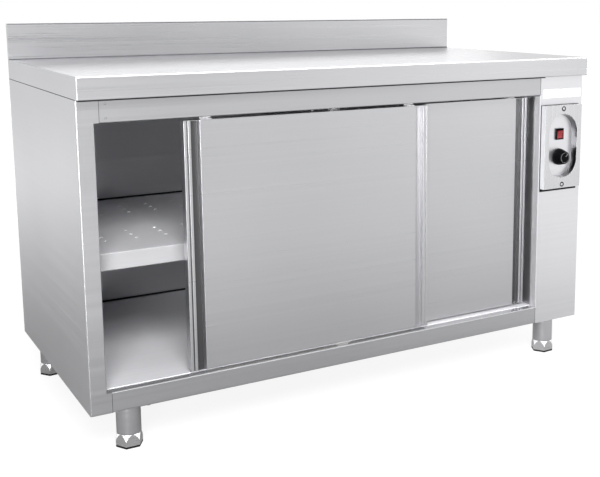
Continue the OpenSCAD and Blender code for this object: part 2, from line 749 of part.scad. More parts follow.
module thermostat_knob() color(black) place() at_front(control_x, knob_z)
    translate([0, 0, knob_gap]) difference() {
        rotate_extrude() polygon([[0, knob_rim], [knob_d / 2 - knob_rim, knob_rim],
            [knob_d / 2 - knob_rim, 0], [knob_d / 2 - 1, 0], [knob_d / 2, 1.5],
            [knob_d / 2 - 0.5, knob_skirt], [knob_face_d / 2 + 0.6, knob_len - 1.5],
            [knob_face_d / 2 - 1, knob_len], [0, knob_len]]);
        for (a = [0:20:340]) rotate(a)
            translate([knob_d / 2 + flute_r - flute_in, 0, knob_skirt + 0.6])
                cylinder(r = flute_r, h = knob_len, $fn = 24);
        translate([0, 0, -1]) cylinder(d = spindle_d + 2 * bore_fit, h = knob_bore + 1);
        rotate(-45) translate([-pointer_w / 2, knob_rim - 1, knob_len - 0.6])
            cube([pointer_w, knob_face_d / 2 - knob_rim - 1, 2]);
    }

module thermostat_spindle() color("silver") place() at_front(control_x, knob_z)
    translate([0, 0, -stat_bore]) cylinder(d = spindle_d, h = stat_bore + knob_gap + knob_bore);

// Housing of the thermostat behind the column, and the neck that its spindle turns in
stat_size = [38, 34, 34];
stat_neck = 10.4;
stat_bore = 14;

module thermostat_body() color("gainsboro") place() at_front(control_x, knob_z) difference() {
    union() {
        translate([-stat_size[0] / 2, -stat_size[1] / 2, -stat_size[2]])
            cube([stat_size[0], stat_size[1], stat_size[2] - sheet]);
        translate([0, 0, -sheet - 1]) cylinder(d = stat_neck, h = sheet + 1.4);
    }
    translate([0, 0, -stat_bore]) cylinder(d = spindle_d + 2 * bore_fit, h = 2 * stat_bore);
}

// --- Heater ---------------------------------------------------------------------------------

// Turns a shape so that its +z axis points along +x on the fan's axis
module at_fan(x) translate([x, fan_y, fan_z]) rotate([0, 90, 0]) children();

// The ring element ends in two sleeved legs that pass out through the shroud
heater_leg_y = 12;
heater_leg_out = 12;
heater_sleeve = heater_tube + 2;
heater_gap = 2 * asin(heater_leg_y / (heater_d / 2));
heater_leg_x = heater_d / 2 * cos(heater_gap / 2);

module fan_shroud() color(inner_steel) place() difference() {
    box(shroud_x, shroud_back, fan_y - shroud_w / 2, fan_y + shroud_w / 2,
        fan_z - shroud_w / 2, fan_z + shroud_w / 2);
    box(shroud_x - 1, shroud_back - sheet, fan_y - shroud_w / 2 + sheet,
        fan_y + shroud_w / 2 - sheet, fan_z - shroud_w / 2 + sheet,
        fan_z + shroud_w / 2 - sheet);
    at_fan(shroud_back) cylinder(d = shaft_d + 6, h = 4 * sheet, center = true);
    for (s = [-1, 1]) at_fan(shroud_back) translate([heater_leg_x, s * heater_leg_y, 0])
        cylinder(d = heater_sleeve, h = 4 * sheet, center = true);
}

module heating_element() color("dimgray") place() at_fan(fan_x + fan_depth / 2) {
    rotate(heater_gap / 2) rotate_extrude(angle = 360 - heater_gap)
        translate([heater_d / 2, 0]) circle(d = heater_tube, $fn = 32);
    for (s = [-1, 1]) translate([heater_leg_x, s * heater_leg_y, -heater_sleeve / 2])
        cylinder(d = heater_sleeve,
            h = heater_sleeve / 2 + shroud_back - fan_x - fan_depth / 2 + heater_leg_out);
}

motor_feet = 4;
motor_end = 10;
fin_thick = 1.6;

module fan_motor() color("slategray") place() at_fan(shroud_back) difference() {
    union() {
        translate([0, 0, motor_feet]) cylinder(d = motor_d, h = motor_len - motor_feet);
        cylinder(d = motor_d / 2, h = motor_feet + 1);
        for (a = [60, 180, 300]) rotate(a) translate([motor_d / 2 - 8, 0, 0])
            cylinder(d = 8, h = motor_feet + 1);
        for (a = [0:15:345]) rotate(a) translate([motor_d / 2 - 1, -fin_thick / 2, 12])
            cube([4, fin_thick, motor_len - 20]);
    }
    translate([0, 0, -1]) cylinder(d = shaft_d + 2 * bore_fit, h = motor_len - motor_end + 1);
}

module fan_shaft() color("silver") place() at_fan(fan_x + wheel_t)
    cylinder(d = shaft_d, h = shroud_back - fan_x - wheel_t + motor_len - motor_end - 1);

// A backward-curved wheel: a back plate with its hub, the blades and the front ring
wheel_t = 2;
hub_d = 26;
blade_len = 22;
blade_t = 1.5;
blade_turn = 35;

module fan_wheel() color("silver") place() at_fan(fan_x) {
    difference() {
        union() {
            translate([0, 0, fan_depth - wheel_t]) cylinder(d = fan_d, h = wheel_t);
            cylinder(d = hub_d, h = fan_depth);
        }
        translate([0, 0, wheel_t]) cylinder(d = shaft_d, h = fan_depth);
    }
    for (i = [0:fan_blades - 1]) rotate(i * 360 / fan_blades)
        translate([fan_d / 2 - blade_len, 0, 0]) rotate(blade_turn) translate([0, -blade_t / 2, 0])
            cube([blade_len, blade_t, fan_depth - 1]);
    difference() {
        cylinder(d = fan_d, h = wheel_t);
        translate([0, 0, -1]) cylinder(d = fan_d - 36, h = wheel_t + 2);
    }
}

// A cut-out held to the shroud, with two terminal blades
cutout_size = [12, 28, 24];
cutout_rise = 70;
cutout_z = fan_z + cutout_rise;

module thermal_cutout() color("white") place() {
    box(shroud_back, shroud_back + cutout_size[0], fan_y - cutout_size[1] / 2,
        fan_y + cutout_size[1] / 2, cutout_z, cutout_z + cutout_size[2]);
    for (y = [-6, 4]) box(shroud_back + cutout_size[0], shroud_back + cutout_size[0] + 8,
        fan_y + y, fan_y + y + 2, cutout_z + 8, cutout_z + 14);
}

terminal_pitch = 12;
terminal_size = [24, 60, 22];
terminal_rise = 60;
terminal_z = opening_z + terminal_rise;

module terminal_block() color("ivory") place() difference() {
    box(cabinet_w - sheet - terminal_size[0], cabinet_w - sheet, gland_y - terminal_size[1] / 2,
        gland_y + terminal_size[1] / 2, terminal_z, terminal_z + terminal_size[2]);
    for (k = [-2:2]) translate([cabinet_w - sheet - terminal_size[0] / 2,
        gland_y + k * terminal_pitch, terminal_z + terminal_size[2] / 2])
            cylinder(d = 5, h = terminal_size[2], $fn = 24);
}

gland_x = cabinet_w - column_w / 2;
gland_d = 16;
gland_nut = 24;
gland_y = cabinet_d - leg_y_rear - leg_plate / 2 - gland_nut;
gland_bore = 10;

module cable_gland() color(black) place() translate([gland_x, gland_y, opening_z]) difference() {
    union() {
        translate([0, 0, -6]) cylinder(d = gland_nut, h = 6, $fn = 6);
        translate([0, 0, -gland_nut]) cylinder(d1 = gland_d, d2 = gland_nut - 2, h = 18);
        cylinder(d = gland_d, h = sheet + 5);
        translate([0, 0, sheet]) cylinder(d = gland_nut, h = 4, $fn = 6);
    }
    translate([0, 0, -gland_nut - 1]) cylinder(d = gland_bore, h = 2 * gland_nut);
}

// --- Legs -----------------------------------------------------------------------------------

module at_leg(i) place() translate([leg_pos[i][0], leg_pos[i][1], 0]) children();

module leg_plates() color(steel) for (i = [0:3]) at_leg(i) difference() {
    union() {
        translate([-leg_plate / 2, -leg_plate / 2, leg_top])
            cube([leg_plate, leg_plate, leg_plate_t]);
        translate([0, 0, leg_top - socket_t])
            cylinder(d = leg_d - 2 * leg_wall, h = socket_t);
    }
    translate([0, 0, leg_top - socket_t - 1])
        cylinder(d = leg_d - 2 * (leg_wall + socket_wall), h = socket_t);
    for (x = [-1, 1], y = [-1, 1])
        translate([x * (leg_plate / 2 - bolt_inset), y * (leg_plate / 2 - bolt_inset),
            leg_top - 1]) cylinder(d = bolt_d, h = leg_plate_t + 2, $fn = 24);
}

// A tube with the bush at its foot end that the stem screws into
module leg_tubes() color(steel) for (i = [0:3]) at_leg(i) difference() {
    translate([0, 0, foot_h]) cylinder(d = leg_d, h = leg_top - foot_h);
    translate([0, 0, foot_h + bush_h]) cylinder(d = leg_d - 2 * leg_wall, h = leg_top);
    translate([0, 0, foot_h - 1]) cylinder(d = stem_d + 2 * bore_fit, h = leg_top);
}

// A hexagonal foot turned down to the tube at its top
module foot(i) color(steel) at_leg(i) {
    inner_r = foot_d / 2 * cos(30);
    rise = (foot_d / 2 - inner_r) / (foot_h - foot_full_h);
    intersection() {
        translate([0, 0, pad_t]) rotate(foot_turn[i])
            cylinder(d = foot_d, h = foot_h - pad_t, $fn = 6);
        cylinder(r1 = inner_r + rise * foot_h, r2 = inner_r, h = foot_h);
    }
    translate([0, 0, foot_h]) cylinder(d = stem_d, h = stem_top - foot_h);
}

module pad(i) color(black) at_leg(i) rotate(foot_turn[i])
    cylinder(d = foot_d, h = pad_t, $fn = 6);

module foot_front_left() foot(0);
module pad_front_left() pad(0);
module foot_front_right() foot(1);
module pad_front_right() pad(1);
module foot_rear_left() foot(2);
module pad_rear_left() pad(2);
module foot_rear_right() foot(3);
module pad_rear_right() pad(3);

worktop();
worktop_board();
worktop_bearers();
left_side_panel();
left_inner_wall();
left_insulation();
right_side_panel();
rear_panel();
ceiling_panel();
floor_panel();
floor_bearers();
bottom_rail();
top_rail();
door_track();
track_stops();
door_guide();
column_front();
column_partition();
column_base();
shelf();
shelf_brackets();
shelf_stiffener();
control_cover();
cover_screws();
switch_body();
switch_rocker();
thermostat_body();
thermostat_spindle();
thermostat_knob();
thermal_cutout();
terminal_block();
cable_gland();
fan_shroud();
heating_element();
fan_motor();
fan_shaft();
fan_wheel();
leg_plates();
leg_tubes();
foot_front_left();
pad_front_left();
foot_front_right();
pad_front_right();
foot_rear_left();
pad_rear_left();
foot_rear_right();
pad_rear_right();
front_door_skin();
front_door_liner();
front_door_core();
front_door_hangers();
front_roller_left();
front_roller_right();
rear_door_skin();
rear_door_liner();
rear_door_core();
rear_door_hangers();
rear_roller_left();
rear_roller_right();
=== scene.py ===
"""Dresses a packed plate warmer cabinet and sets up the studio that it is photographed in.

The cabinet stands on the floor with its doors towards -Y and its heater column towards +X.
Every length is in metres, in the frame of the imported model.
"""

import json
import logging
import math
from collections.abc import Callable
from dataclasses import dataclass
from enum import Enum

import bmesh
import bpy
from mathutils import Matrix, Vector

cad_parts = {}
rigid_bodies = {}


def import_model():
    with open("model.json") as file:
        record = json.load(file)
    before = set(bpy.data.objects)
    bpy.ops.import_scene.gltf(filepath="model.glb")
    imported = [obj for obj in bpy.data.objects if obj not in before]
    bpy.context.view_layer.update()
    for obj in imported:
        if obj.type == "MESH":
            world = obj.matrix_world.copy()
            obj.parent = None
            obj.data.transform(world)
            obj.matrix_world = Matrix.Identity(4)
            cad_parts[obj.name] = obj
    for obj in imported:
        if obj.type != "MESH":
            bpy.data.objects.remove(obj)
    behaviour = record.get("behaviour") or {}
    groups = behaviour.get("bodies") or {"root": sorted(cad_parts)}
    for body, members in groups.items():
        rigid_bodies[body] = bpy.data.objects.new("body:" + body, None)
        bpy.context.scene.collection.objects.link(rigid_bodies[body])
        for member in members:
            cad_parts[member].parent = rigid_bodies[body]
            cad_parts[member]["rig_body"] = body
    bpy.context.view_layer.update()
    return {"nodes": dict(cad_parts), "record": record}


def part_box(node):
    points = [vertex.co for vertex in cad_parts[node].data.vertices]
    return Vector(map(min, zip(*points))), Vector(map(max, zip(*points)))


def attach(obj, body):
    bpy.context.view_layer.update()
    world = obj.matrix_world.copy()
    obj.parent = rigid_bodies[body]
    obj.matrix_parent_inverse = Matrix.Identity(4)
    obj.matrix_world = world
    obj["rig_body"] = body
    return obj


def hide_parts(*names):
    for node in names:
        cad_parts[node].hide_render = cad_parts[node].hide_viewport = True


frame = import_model()
LOG = logging.getLogger("plate_warmer")

Triple = tuple[float, float, float]
MM = 0.001
FORWARD = (0.0, -1.0, 0.0)
UPWARD = (0.0, 0.0, 1.0)
DOWNWARD = (0.0, 0.0, -1.0)
# Least part of a face's normal along an axis with which the face counts as facing that way.
FACING = 0.7
# Least part along an axis with which it counts as leaning that way.
LEANING = 0.1
# Most part along an axis with which a face is a slope and not a face square to the axis.
SLOPING = 0.95


class Grain(Enum):
    """Directions in which a sheet was brushed, as the stretch of its noise on each axis."""

    LEVEL = (0.6, 0.6, 260.0)
    ALONG_X = (1.2, 260.0, 260.0)
    ALONG_Y = (260.0, 1.2, 260.0)
    UPRIGHT = (260.0, 260.0, 1.2)
    NONE = (90.0, 90.0, 90.0)


# --- Materials --------------------------------------------------------------------------------

# Where the sum of two noises mostly lies.
TWO_NOISES = (0.7, 1.3)


class ShaderTree:
    """A material under construction, with short calls for the nodes that the finishes share."""

    def __init__(self, name: str) -> None:
        """Starts a material.

        Args:
            name: Name of the material.
        """
        self.material = bpy.data.materials.new(name)
        self.material.use_nodes = True
        self.tree = self.material.node_tree
        self.shader = self.tree.nodes["Principled BSDF"]
        self.coordinates = self.tree.nodes.new("ShaderNodeTexCoord").outputs["Object"]

    def add(self, kind: str, **settings: object) -> bpy.types.Node:
        """Adds a node.

        Args:
            kind: The node's type.
            **settings: Properties to set on it.

        Returns:
            The new node.
        """
        node = self.tree.nodes.new(kind)
        for name, value in settings.items():
            setattr(node, name, value)
        return node

    def link(self, source: bpy.types.NodeSocket, target: bpy.types.NodeSocket) -> None:
        """Links an output to an input."""
        self.tree.links.new(source, target)

    def set(self, **values: object) -> None:
        """Sets constants on the shader, by socket name with underscores for spaces."""
        for name, value in values.items():
            self.shader.inputs[name.replace("_", " ")].default_value = value

    def noise(self, stretch: Triple, scale: float = 1.0, detail: float = 2.0) -> bpy.types.NodeSocket:
        """Makes noise on the object's own coordinates.

        Args:
            stretch: Frequency on each axis, per metre.
            scale: Factor on all three.
            detail: Octaves of the noise.

        Returns:
            The noise's value, about 0.5 on average.
        """
        mapping = self.add("ShaderNodeMapping")
        mapping.inputs["Scale"].default_value = stretch
        noise = self.add("ShaderNodeTexNoise")
        noise.inputs["Scale"].default_value = scale
        noise.inputs["Detail"].default_value = detail
        self.link(self.coordinates, mapping.inputs["Vector"])
        self.link(mapping.outputs["Vector"], noise.inputs["Vector"])
        return noise.outputs["Fac"]

    def spread(self, value: bpy.types.NodeSocket, low: float, high: float,
               start: float = 0.3, end: float = 0.7) -> bpy.types.NodeSocket:
        """Maps a value to a range.

        Args:
            value: The value to map.
            low: Result at start.
            high: Result at end.
            start: Value that gives low.
            end: Value that gives high.

        Returns:
            The mapped value.
        """
        node = self.add("ShaderNodeMapRange")
        for name, number in (("From Min", start), ("From Max", end), ("To Min", low),
                             ("To Max", high)):
            node.inputs[name].default_value = number
        self.link(value, node.inputs["Value"])
        return node.outputs["Result"]

    def tint(self, value: bpy.types.NodeSocket, dark: Triple, light: Triple) -> bpy.types.NodeSocket:
        """Mixes two colours.

        Args:
            value: Share of the light colour.
            dark: Colour at 0.
            light: Colour at 1.

        Returns:
            The mixed colour.
        """
        node = self.add("ShaderNodeMix", data_type="RGBA")
        colours = [socket for socket in node.inputs if socket.type == "RGBA"]
        colours[0].default_value = (*dark, 1.0)
        colours[1].default_value = (*light, 1.0)
        self.link(value, node.inputs["Factor"])
        return next(socket for socket in node.outputs if socket.type == "RGBA")

    def combine(self, operation: str, *values: bpy.types.NodeSocket) -> bpy.types.NodeSocket:
        """Joins values by a calculation with two inputs, from the first to the last.

        Args:
            operation: The Math node's operation.
            *values: The values.

        Returns:
            The result.
        """
        result = values[0]
        for value in values[1:]:
            node = self.add("ShaderNodeMath", operation=operation)
            self.link(result, node.inputs[0])
            self.link(value, node.inputs[1])
            result = node.outputs[0]
        return result

    def paint(self, colour: bpy.types.NodeSocket, roughness: bpy.types.NodeSocket) -> None:
        """Gives the shader its colour and its roughness."""
        self.link(colour, self.shader.inputs["Base Color"])
        self.link(roughness, self.shader.inputs["Roughness"])

    def bump(self, height: bpy.types.NodeSocket, depth: float) -> None:
        """Raises the surface.

        Args:
            height: Height from 0 to 1.
            depth: Height of a 1, in metres.
        """
        node = self.add("ShaderNodeBump")
        node.inputs["Distance"].default_value = depth
        self.link(height, node.inputs["Height"])
        self.link(node.outputs["Normal"], self.shader.inputs["Normal"])


@dataclass(frozen=True)
class BrushedSteel:
    """Stainless sheet with a brushed grain and the slow cloudiness of rolled sheet."""

    name: str
    colour: float = 0.62
    roughness: float = 0.34
    grain: Grain = Grain.ALONG_X
    groove: float = 0.006 * MM
    cloud: float = 0.03
    streak: float = 0.018
    uneven: float = 0.05
    blue: float = 1.03
    metal: float = 0.95

    def build(self) -> bpy.types.Material:
        """Builds the material."""
        tree = ShaderTree(self.name)
        tree.set(Metallic=self.metal)
        fine = tree.noise(self.grain.value, scale=3.0, detail=3.0)
        broad = tree.noise(self.grain.value, scale=0.35, detail=2.0)
        clouds = tree.noise((1.0, 1.0, 1.0), scale=2.3, detail=1.0)
        contrast = self.cloud + 2 * self.streak
        shade = tree.combine("ADD", tree.spread(clouds, 0.0, self.cloud / contrast),
                             tree.spread(broad, 0.0, self.streak / contrast),
                             tree.spread(fine, 0.0, self.streak / contrast))
        low, high = self.colour * (1 - contrast), self.colour * (1 + contrast)
        tree.paint(tree.tint(shade, (low, low, low * self.blue), (high, high, high * self.blue)),
                   tree.spread(tree.combine("ADD", fine, broad), self.roughness - self.uneven,
                               self.roughness + self.uneven, *TWO_NOISES))
        tree.bump(fine, self.groove)
        return tree.material


@dataclass(frozen=True)
class Polished:
    """Turned or polished metal with a faint ring of tool marks."""

    name: str
    colour: Triple = (0.66, 0.67, 0.69)
    roughness: float = 0.2
    uneven: tuple[float, float] = (-0.04, 0.06)
    contrast: float = 0.07
    marks: Triple = (30.0, 30.0, 900.0)
    depth: float = 0.01 * MM

    def build(self) -> bpy.types.Material:
        """Builds the material."""
        tree = ShaderTree(self.name)
        tree.set(Metallic=1.0)
        marks = tree.noise(self.marks)
        darker = tuple(channel * (1.0 - self.contrast) for channel in self.colour)
        tree.paint(tree.tint(tree.spread(marks, 0.0, 1.0), darker, self.colour),
                   tree.spread(marks, *(self.roughness + change for change in self.uneven)))
        tree.bump(marks, self.depth)
        return tree.material


@dataclass(frozen=True)
class Moulded:
    """Plastic, rubber or paint, with a fine skin texture."""

    name: str
    colour: Triple
    roughness: float = 0.4
    texture: float = 0.02 * MM
    pitch: float = 900.0
    contrast: float = 0.15
    coat: float = 0.0
    transmission: float = 0.0
    specular: float = 0.5
    uneven: tuple[float, float] = (-0.05, 0.08)

    def build(self) -> bpy.types.Material:
        """Builds the material."""
        tree = ShaderTree(self.name)
        tree.set(Coat_Weight=self.coat, Transmission_Weight=self.transmission,
                 Specular_IOR_Level=self.specular)
        skin = tree.noise((self.pitch, self.pitch, self.pitch), detail=3.0)
        darker = tuple(channel * (1.0 - self.contrast) for channel in self.colour)
        tree.paint(tree.tint(tree.spread(skin, 0.0, 1.0), darker, self.colour),
                   tree.spread(skin, *(self.roughness + change for change in self.uneven)))
        tree.bump(skin, self.texture)
        return tree.material


@dataclass(frozen=True)
class Fibrous:
    """Pressed chips or matted wool: blotches of two colours at two scales."""

    name: str
    dark: Triple
    light: Triple
    stretch: Triple
    depth: float

    def build(self) -> bpy.types.Material:
        """Builds the material."""
        tree = ShaderTree(self.name)
        tree.set(Roughness=0.95)
        coarse = tree.noise(self.stretch, detail=4.0)
        fine = tree.noise(self.stretch, scale=4.0, detail=3.0)
        mixed = tree.spread(tree.combine("ADD", coarse, fine), 0.0, 1.0, *TWO_NOISES)
        tree.link(tree.tint(mixed, self.dark, self.light), tree.shader.inputs["Base Color"])
        tree.bump(mixed, self.depth)
        return tree.material


OUTER_STEEL = BrushedSteel("outer_steel", colour=0.45)
SIDE_STEEL = BrushedSteel("side_steel", colour=0.6, grain=Grain.LEVEL)
TOP_STEEL = BrushedSteel("worktop_steel", colour=0.52, roughness=0.3, streak=0.01,
                         groove=0.004 * MM)
COLUMN_STEEL = BrushedSteel("column_steel", colour=0.64, grain=Grain.LEVEL)
COVER_STEEL = BrushedSteel("cover_steel", colour=0.52, roughness=0.28, grain=Grain.UPRIGHT,
                           streak=0.008, metal=0.85)
DOOR_STEEL = BrushedSteel("door_steel", colour=0.48, roughness=0.32, grain=Grain.LEVEL)
# Painted shade: a near-black and a paler copy of the steel for recessed channel floors and the column
# partition.
CHANNEL_PAINTED_SHADE = BrushedSteel("channel_painted_shade", colour=0.09, roughness=0.4, grain=Grain.UPRIGHT)
PALE_CHANNEL_PAINTED_SHADE = BrushedSteel("pale_channel_painted_shade", colour=0.4, roughness=0.4,
                                  grain=Grain.UPRIGHT)
INNER_STEEL = BrushedSteel("inner_steel", colour=0.7, roughness=0.5, metal=0.2)
FLOOR_STEEL = BrushedSteel("cabinet_floor_steel", colour=0.8, roughness=0.4, metal=0.1)
# Painted light: a paler, less mirror-like copy of the steel so the bottom rail's ledge shows lit.
LEDGE_PAINTED_LIGHT = BrushedSteel("ledge_painted_light", colour=0.6, roughness=0.2, metal=0.7)
# Painted shade: a darker copy of the steel for the column's left-facing return and the shelf's front
# lip.
LIP_PAINTED_SHADE = BrushedSteel("lip_painted_shade", colour=0.45, roughness=0.4, metal=0.4)
INNER_WALL_STEEL = BrushedSteel("inner_wall_steel", colour=0.95, roughness=0.45,
                                grain=Grain.LEVEL, metal=0.05)
GALVANISED = BrushedSteel("galvanised", colour=0.45, roughness=0.5, grain=Grain.NONE, cloud=0.08,
                          metal=0.8)
TUBE_STEEL = BrushedSteel("tube_steel", colour=0.55, roughness=0.22, grain=Grain.LEVEL)
TRACK_ALLOY = BrushedSteel("track_alloy", colour=0.55, roughness=0.35)
TURNED = Polished("turned_steel")
FOOT_STEEL = Polished("foot_steel", (0.66, 0.66, 0.67), 0.3)
# Painted highlight: a near-white, barely glossy finish laid on edges, rims and facets where a
# highlight should show.
PAINTED_HIGHLIGHT = Moulded("painted_highlight", (0.95, 0.95, 0.96), 0.25, 0.0, 300.0, 0.03)
# Painted shade: a dark polished finish for the right-hand wall of the cover's recess.
RECESS_PAINTED_SHADE = Polished("recess_painted_shade", (0.3, 0.3, 0.31), 0.15)
# Dark burnished steel for spot welds and joint lines, and painted shade in the worktop's rear fold.
BURNISHED_AND_SHADE = Polished("burnished_steel_and_painted_shade", (0.12, 0.12, 0.13), 0.35)
BLACK_PLASTIC = Moulded("black_plastic", (0.003, 0.003, 0.004), 0.3, specular=0.04)
BLACK_RUBBER = Moulded("black_rubber", (0.012, 0.012, 0.012), 0.75, 0.05 * MM, 600.0,
                       specular=0.15)
RED_LENS = Moulded("red_lens", (0.28, 0.006, 0.013), 0.25, 0.0, 400.0, 0.1, 0.2, 0.1)
NYLON = Moulded("nylon", (0.82, 0.81, 0.76), 0.45)
CERAMIC = Moulded("ceramic", (0.85, 0.84, 0.8), 0.35)
ENAMEL = Moulded("white_enamel", (0.9, 0.9, 0.9), 0.25, 0.005 * MM, 300.0, 0.03, 0.4)
PAINT_LINE = Moulded("pale_paint", (0.3, 0.3, 0.3), 0.5, 0.005 * MM)
HEATER_SHEATH = Moulded("heater_sheath", (0.14, 0.12, 0.11), 0.6, 0.04 * MM)
MOTOR_PAINT = Moulded("motor_paint", (0.16, 0.19, 0.23), 0.45, 0.05 * MM)
CHIPBOARD = Fibrous("chipboard", (0.42, 0.29, 0.17), (0.72, 0.56, 0.37), (90.0, 260.0, 260.0),
                    0.2 * MM)
WOOL = Fibrous("mineral_wool", (0.42, 0.36, 0.16), (0.78, 0.71, 0.42), (60.0, 60.0, 320.0),
               1.5 * MM)

Finish = BrushedSteel | Polished | Moulded | Fibrous


class Workshop:
    """Builds each finish once and hands out the material."""

    def __init__(self) -> None:
        """Starts with no material made."""
        self.made: dict[str, bpy.types.Material] = {}

    def material(self, finish: Finish) -> bpy.types.Material:
        """Gives a finish's material, made at its first use.

        Args:
            finish: The finish.

        Returns:
            Its material.
        """
        if finish.name not in self.made:
            self.made[finish.name] = finish.build()
        return self.made[finish.name]


# --- Pieces -----------------------------------------------------------------------------------


def to_object(name: str, mesh: bmesh.types.BMesh) -> bpy.types.Object:
    """Turns a finished bmesh into an object at the origin.

    Args:
        name: Name of the object.
        mesh: The mesh, which is freed.

    Returns:
        The new object.
    """
    data = bpy.data.meshes.new(name)
    mesh.to_mesh(data)
    mesh.free()
    piece = bpy.data.objects.new(name, data)
    bpy.context.scene.collection.objects.link(piece)
    return piece


def bars(name: str, boxes: list[tuple[Triple, Triple]]) -> bpy.types.Object:
    """Makes one object of straight bars.

    Args:
        name: Name of the object.
        boxes: The lowest and the highest corner of each bar.

    Returns:
        The object.
    """
    mesh = bmesh.new()
    for low, high in boxes:
        corners = bmesh.ops.create_cube(mesh, size=1.0)["verts"]
        for vertex in corners:
            vertex.co = [a + (share + 0.5) * (b - a)
                         for a, b, share in zip(low, high, vertex.co)]
    return to_object(name, mesh)


@dataclass
class SheetMetal:
    """Rounded, smooth-shaded copies of the model's nodes, whose own meshes are loose triangles."""

    workshop: Workshop
    merge: float = 0.01 * MM
    flat_angle: float = math.radians(0.5)
    sharp_angle: float = math.radians(32.0)
    rounding_steps: int = 2
    area_weight: int = 100

    def refine(self, node: str, finish: Finish, edge: float,
               edge_highlight: Finish | None = None) -> bpy.types.Object:
        """Replaces a node by a copy with rounded edges.

        Args:
            node: Name of the node.
            finish: Finish of the copy.
            edge: Radius of its edges, or 0 for none.
            edge_highlight: Finish of the rounding itself, where it differs.

        Returns:
            The copy.
        """
        source = frame["nodes"][node]
        mesh = bmesh.new()
        mesh.from_mesh(source.data)
        bmesh.ops.remove_doubles(mesh, verts=mesh.verts, dist=self.merge)
        bmesh.ops.dissolve_limit(mesh, angle_limit=self.flat_angle, verts=mesh.verts,
                                 edges=mesh.edges)
        for fold in mesh.edges:
            fold.smooth = fold.calc_face_angle(0.0) < self.sharp_angle
        for face in mesh.faces:
            face.smooth = True
        piece = to_object(f"{node}_finished", mesh)
        piece.data.materials.append(self.workshop.material(finish))
        if edge > 0.0:
            bevel = piece.modifiers.new("edges", "BEVEL")
            bevel.width = edge
            bevel.segments = self.rounding_steps
            bevel.limit_method = "ANGLE"
            bevel.angle_limit = self.sharp_angle
            # Painted highlight: the rounding can take a finish of its own, such as the near-white
            # highlight.
            if edge_highlight:
                piece.data.materials.append(self.workshop.material(edge_highlight))
                bevel.material = 1
        weigh = piece.modifiers.new("normals", "WEIGHTED_NORMAL")
        weigh.weight = self.area_weight
        weigh.keep_sharp = True
        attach(piece, source["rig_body"])
        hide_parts(node)
        LOG.info("%s: %d faces", piece.name, len(piece.data.polygons))
        return piece

    def paint(self, piece: bpy.types.Object, finish: Finish,
              chosen: Callable[[Vector, Vector], bool]) -> None:
        """Gives some faces of a piece another finish.

        Args:
            piece: The piece.
            finish: The finish of those faces.
            chosen: Tells from a face's middle and its normal whether it is one of them.
        """
        piece.data.materials.append(self.workshop.material(finish))
        last = len(piece.data.materials) - 1
        for polygon in piece.data.polygons:
            if chosen(polygon.center, polygon.normal):
                polygon.material_index = last

    def fit(self, piece: bpy.types.Object, finish: Finish, body: str, slot: str) -> None:
        """Finishes a piece that the model does not have and sets it on a body.

        Args:
            piece: The piece.
            finish: Its finish.
            body: The body that it rides on.
            slot: The record's material slot; not used.
        """
        piece.data.materials.append(self.workshop.material(finish))
        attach(piece, body)

    def dress(self, node: str, finish: Finish) -> None:
        """Gives a node its finish and leaves its mesh as it is.

        Args:
            node: Name of the node.
            finish: The finish.
        """
        mesh = frame["nodes"][node].data
        mesh.materials.clear()
        mesh.materials.append(self.workshop.material(finish))

    @staticmethod
    def slot_of(node: str) -> str:
        """Gives the record's material slot of a node."""
        return next(part["material_slot"] for part in frame["record"]["subparts"]
                    if part["node"] == node)


class Shape(Enum):
    """Small shapes that are repeated over the cabinet."""

    RING = "ring"
    RIVET = "rivet"
    HEX_BOLT = "hex_bolt"


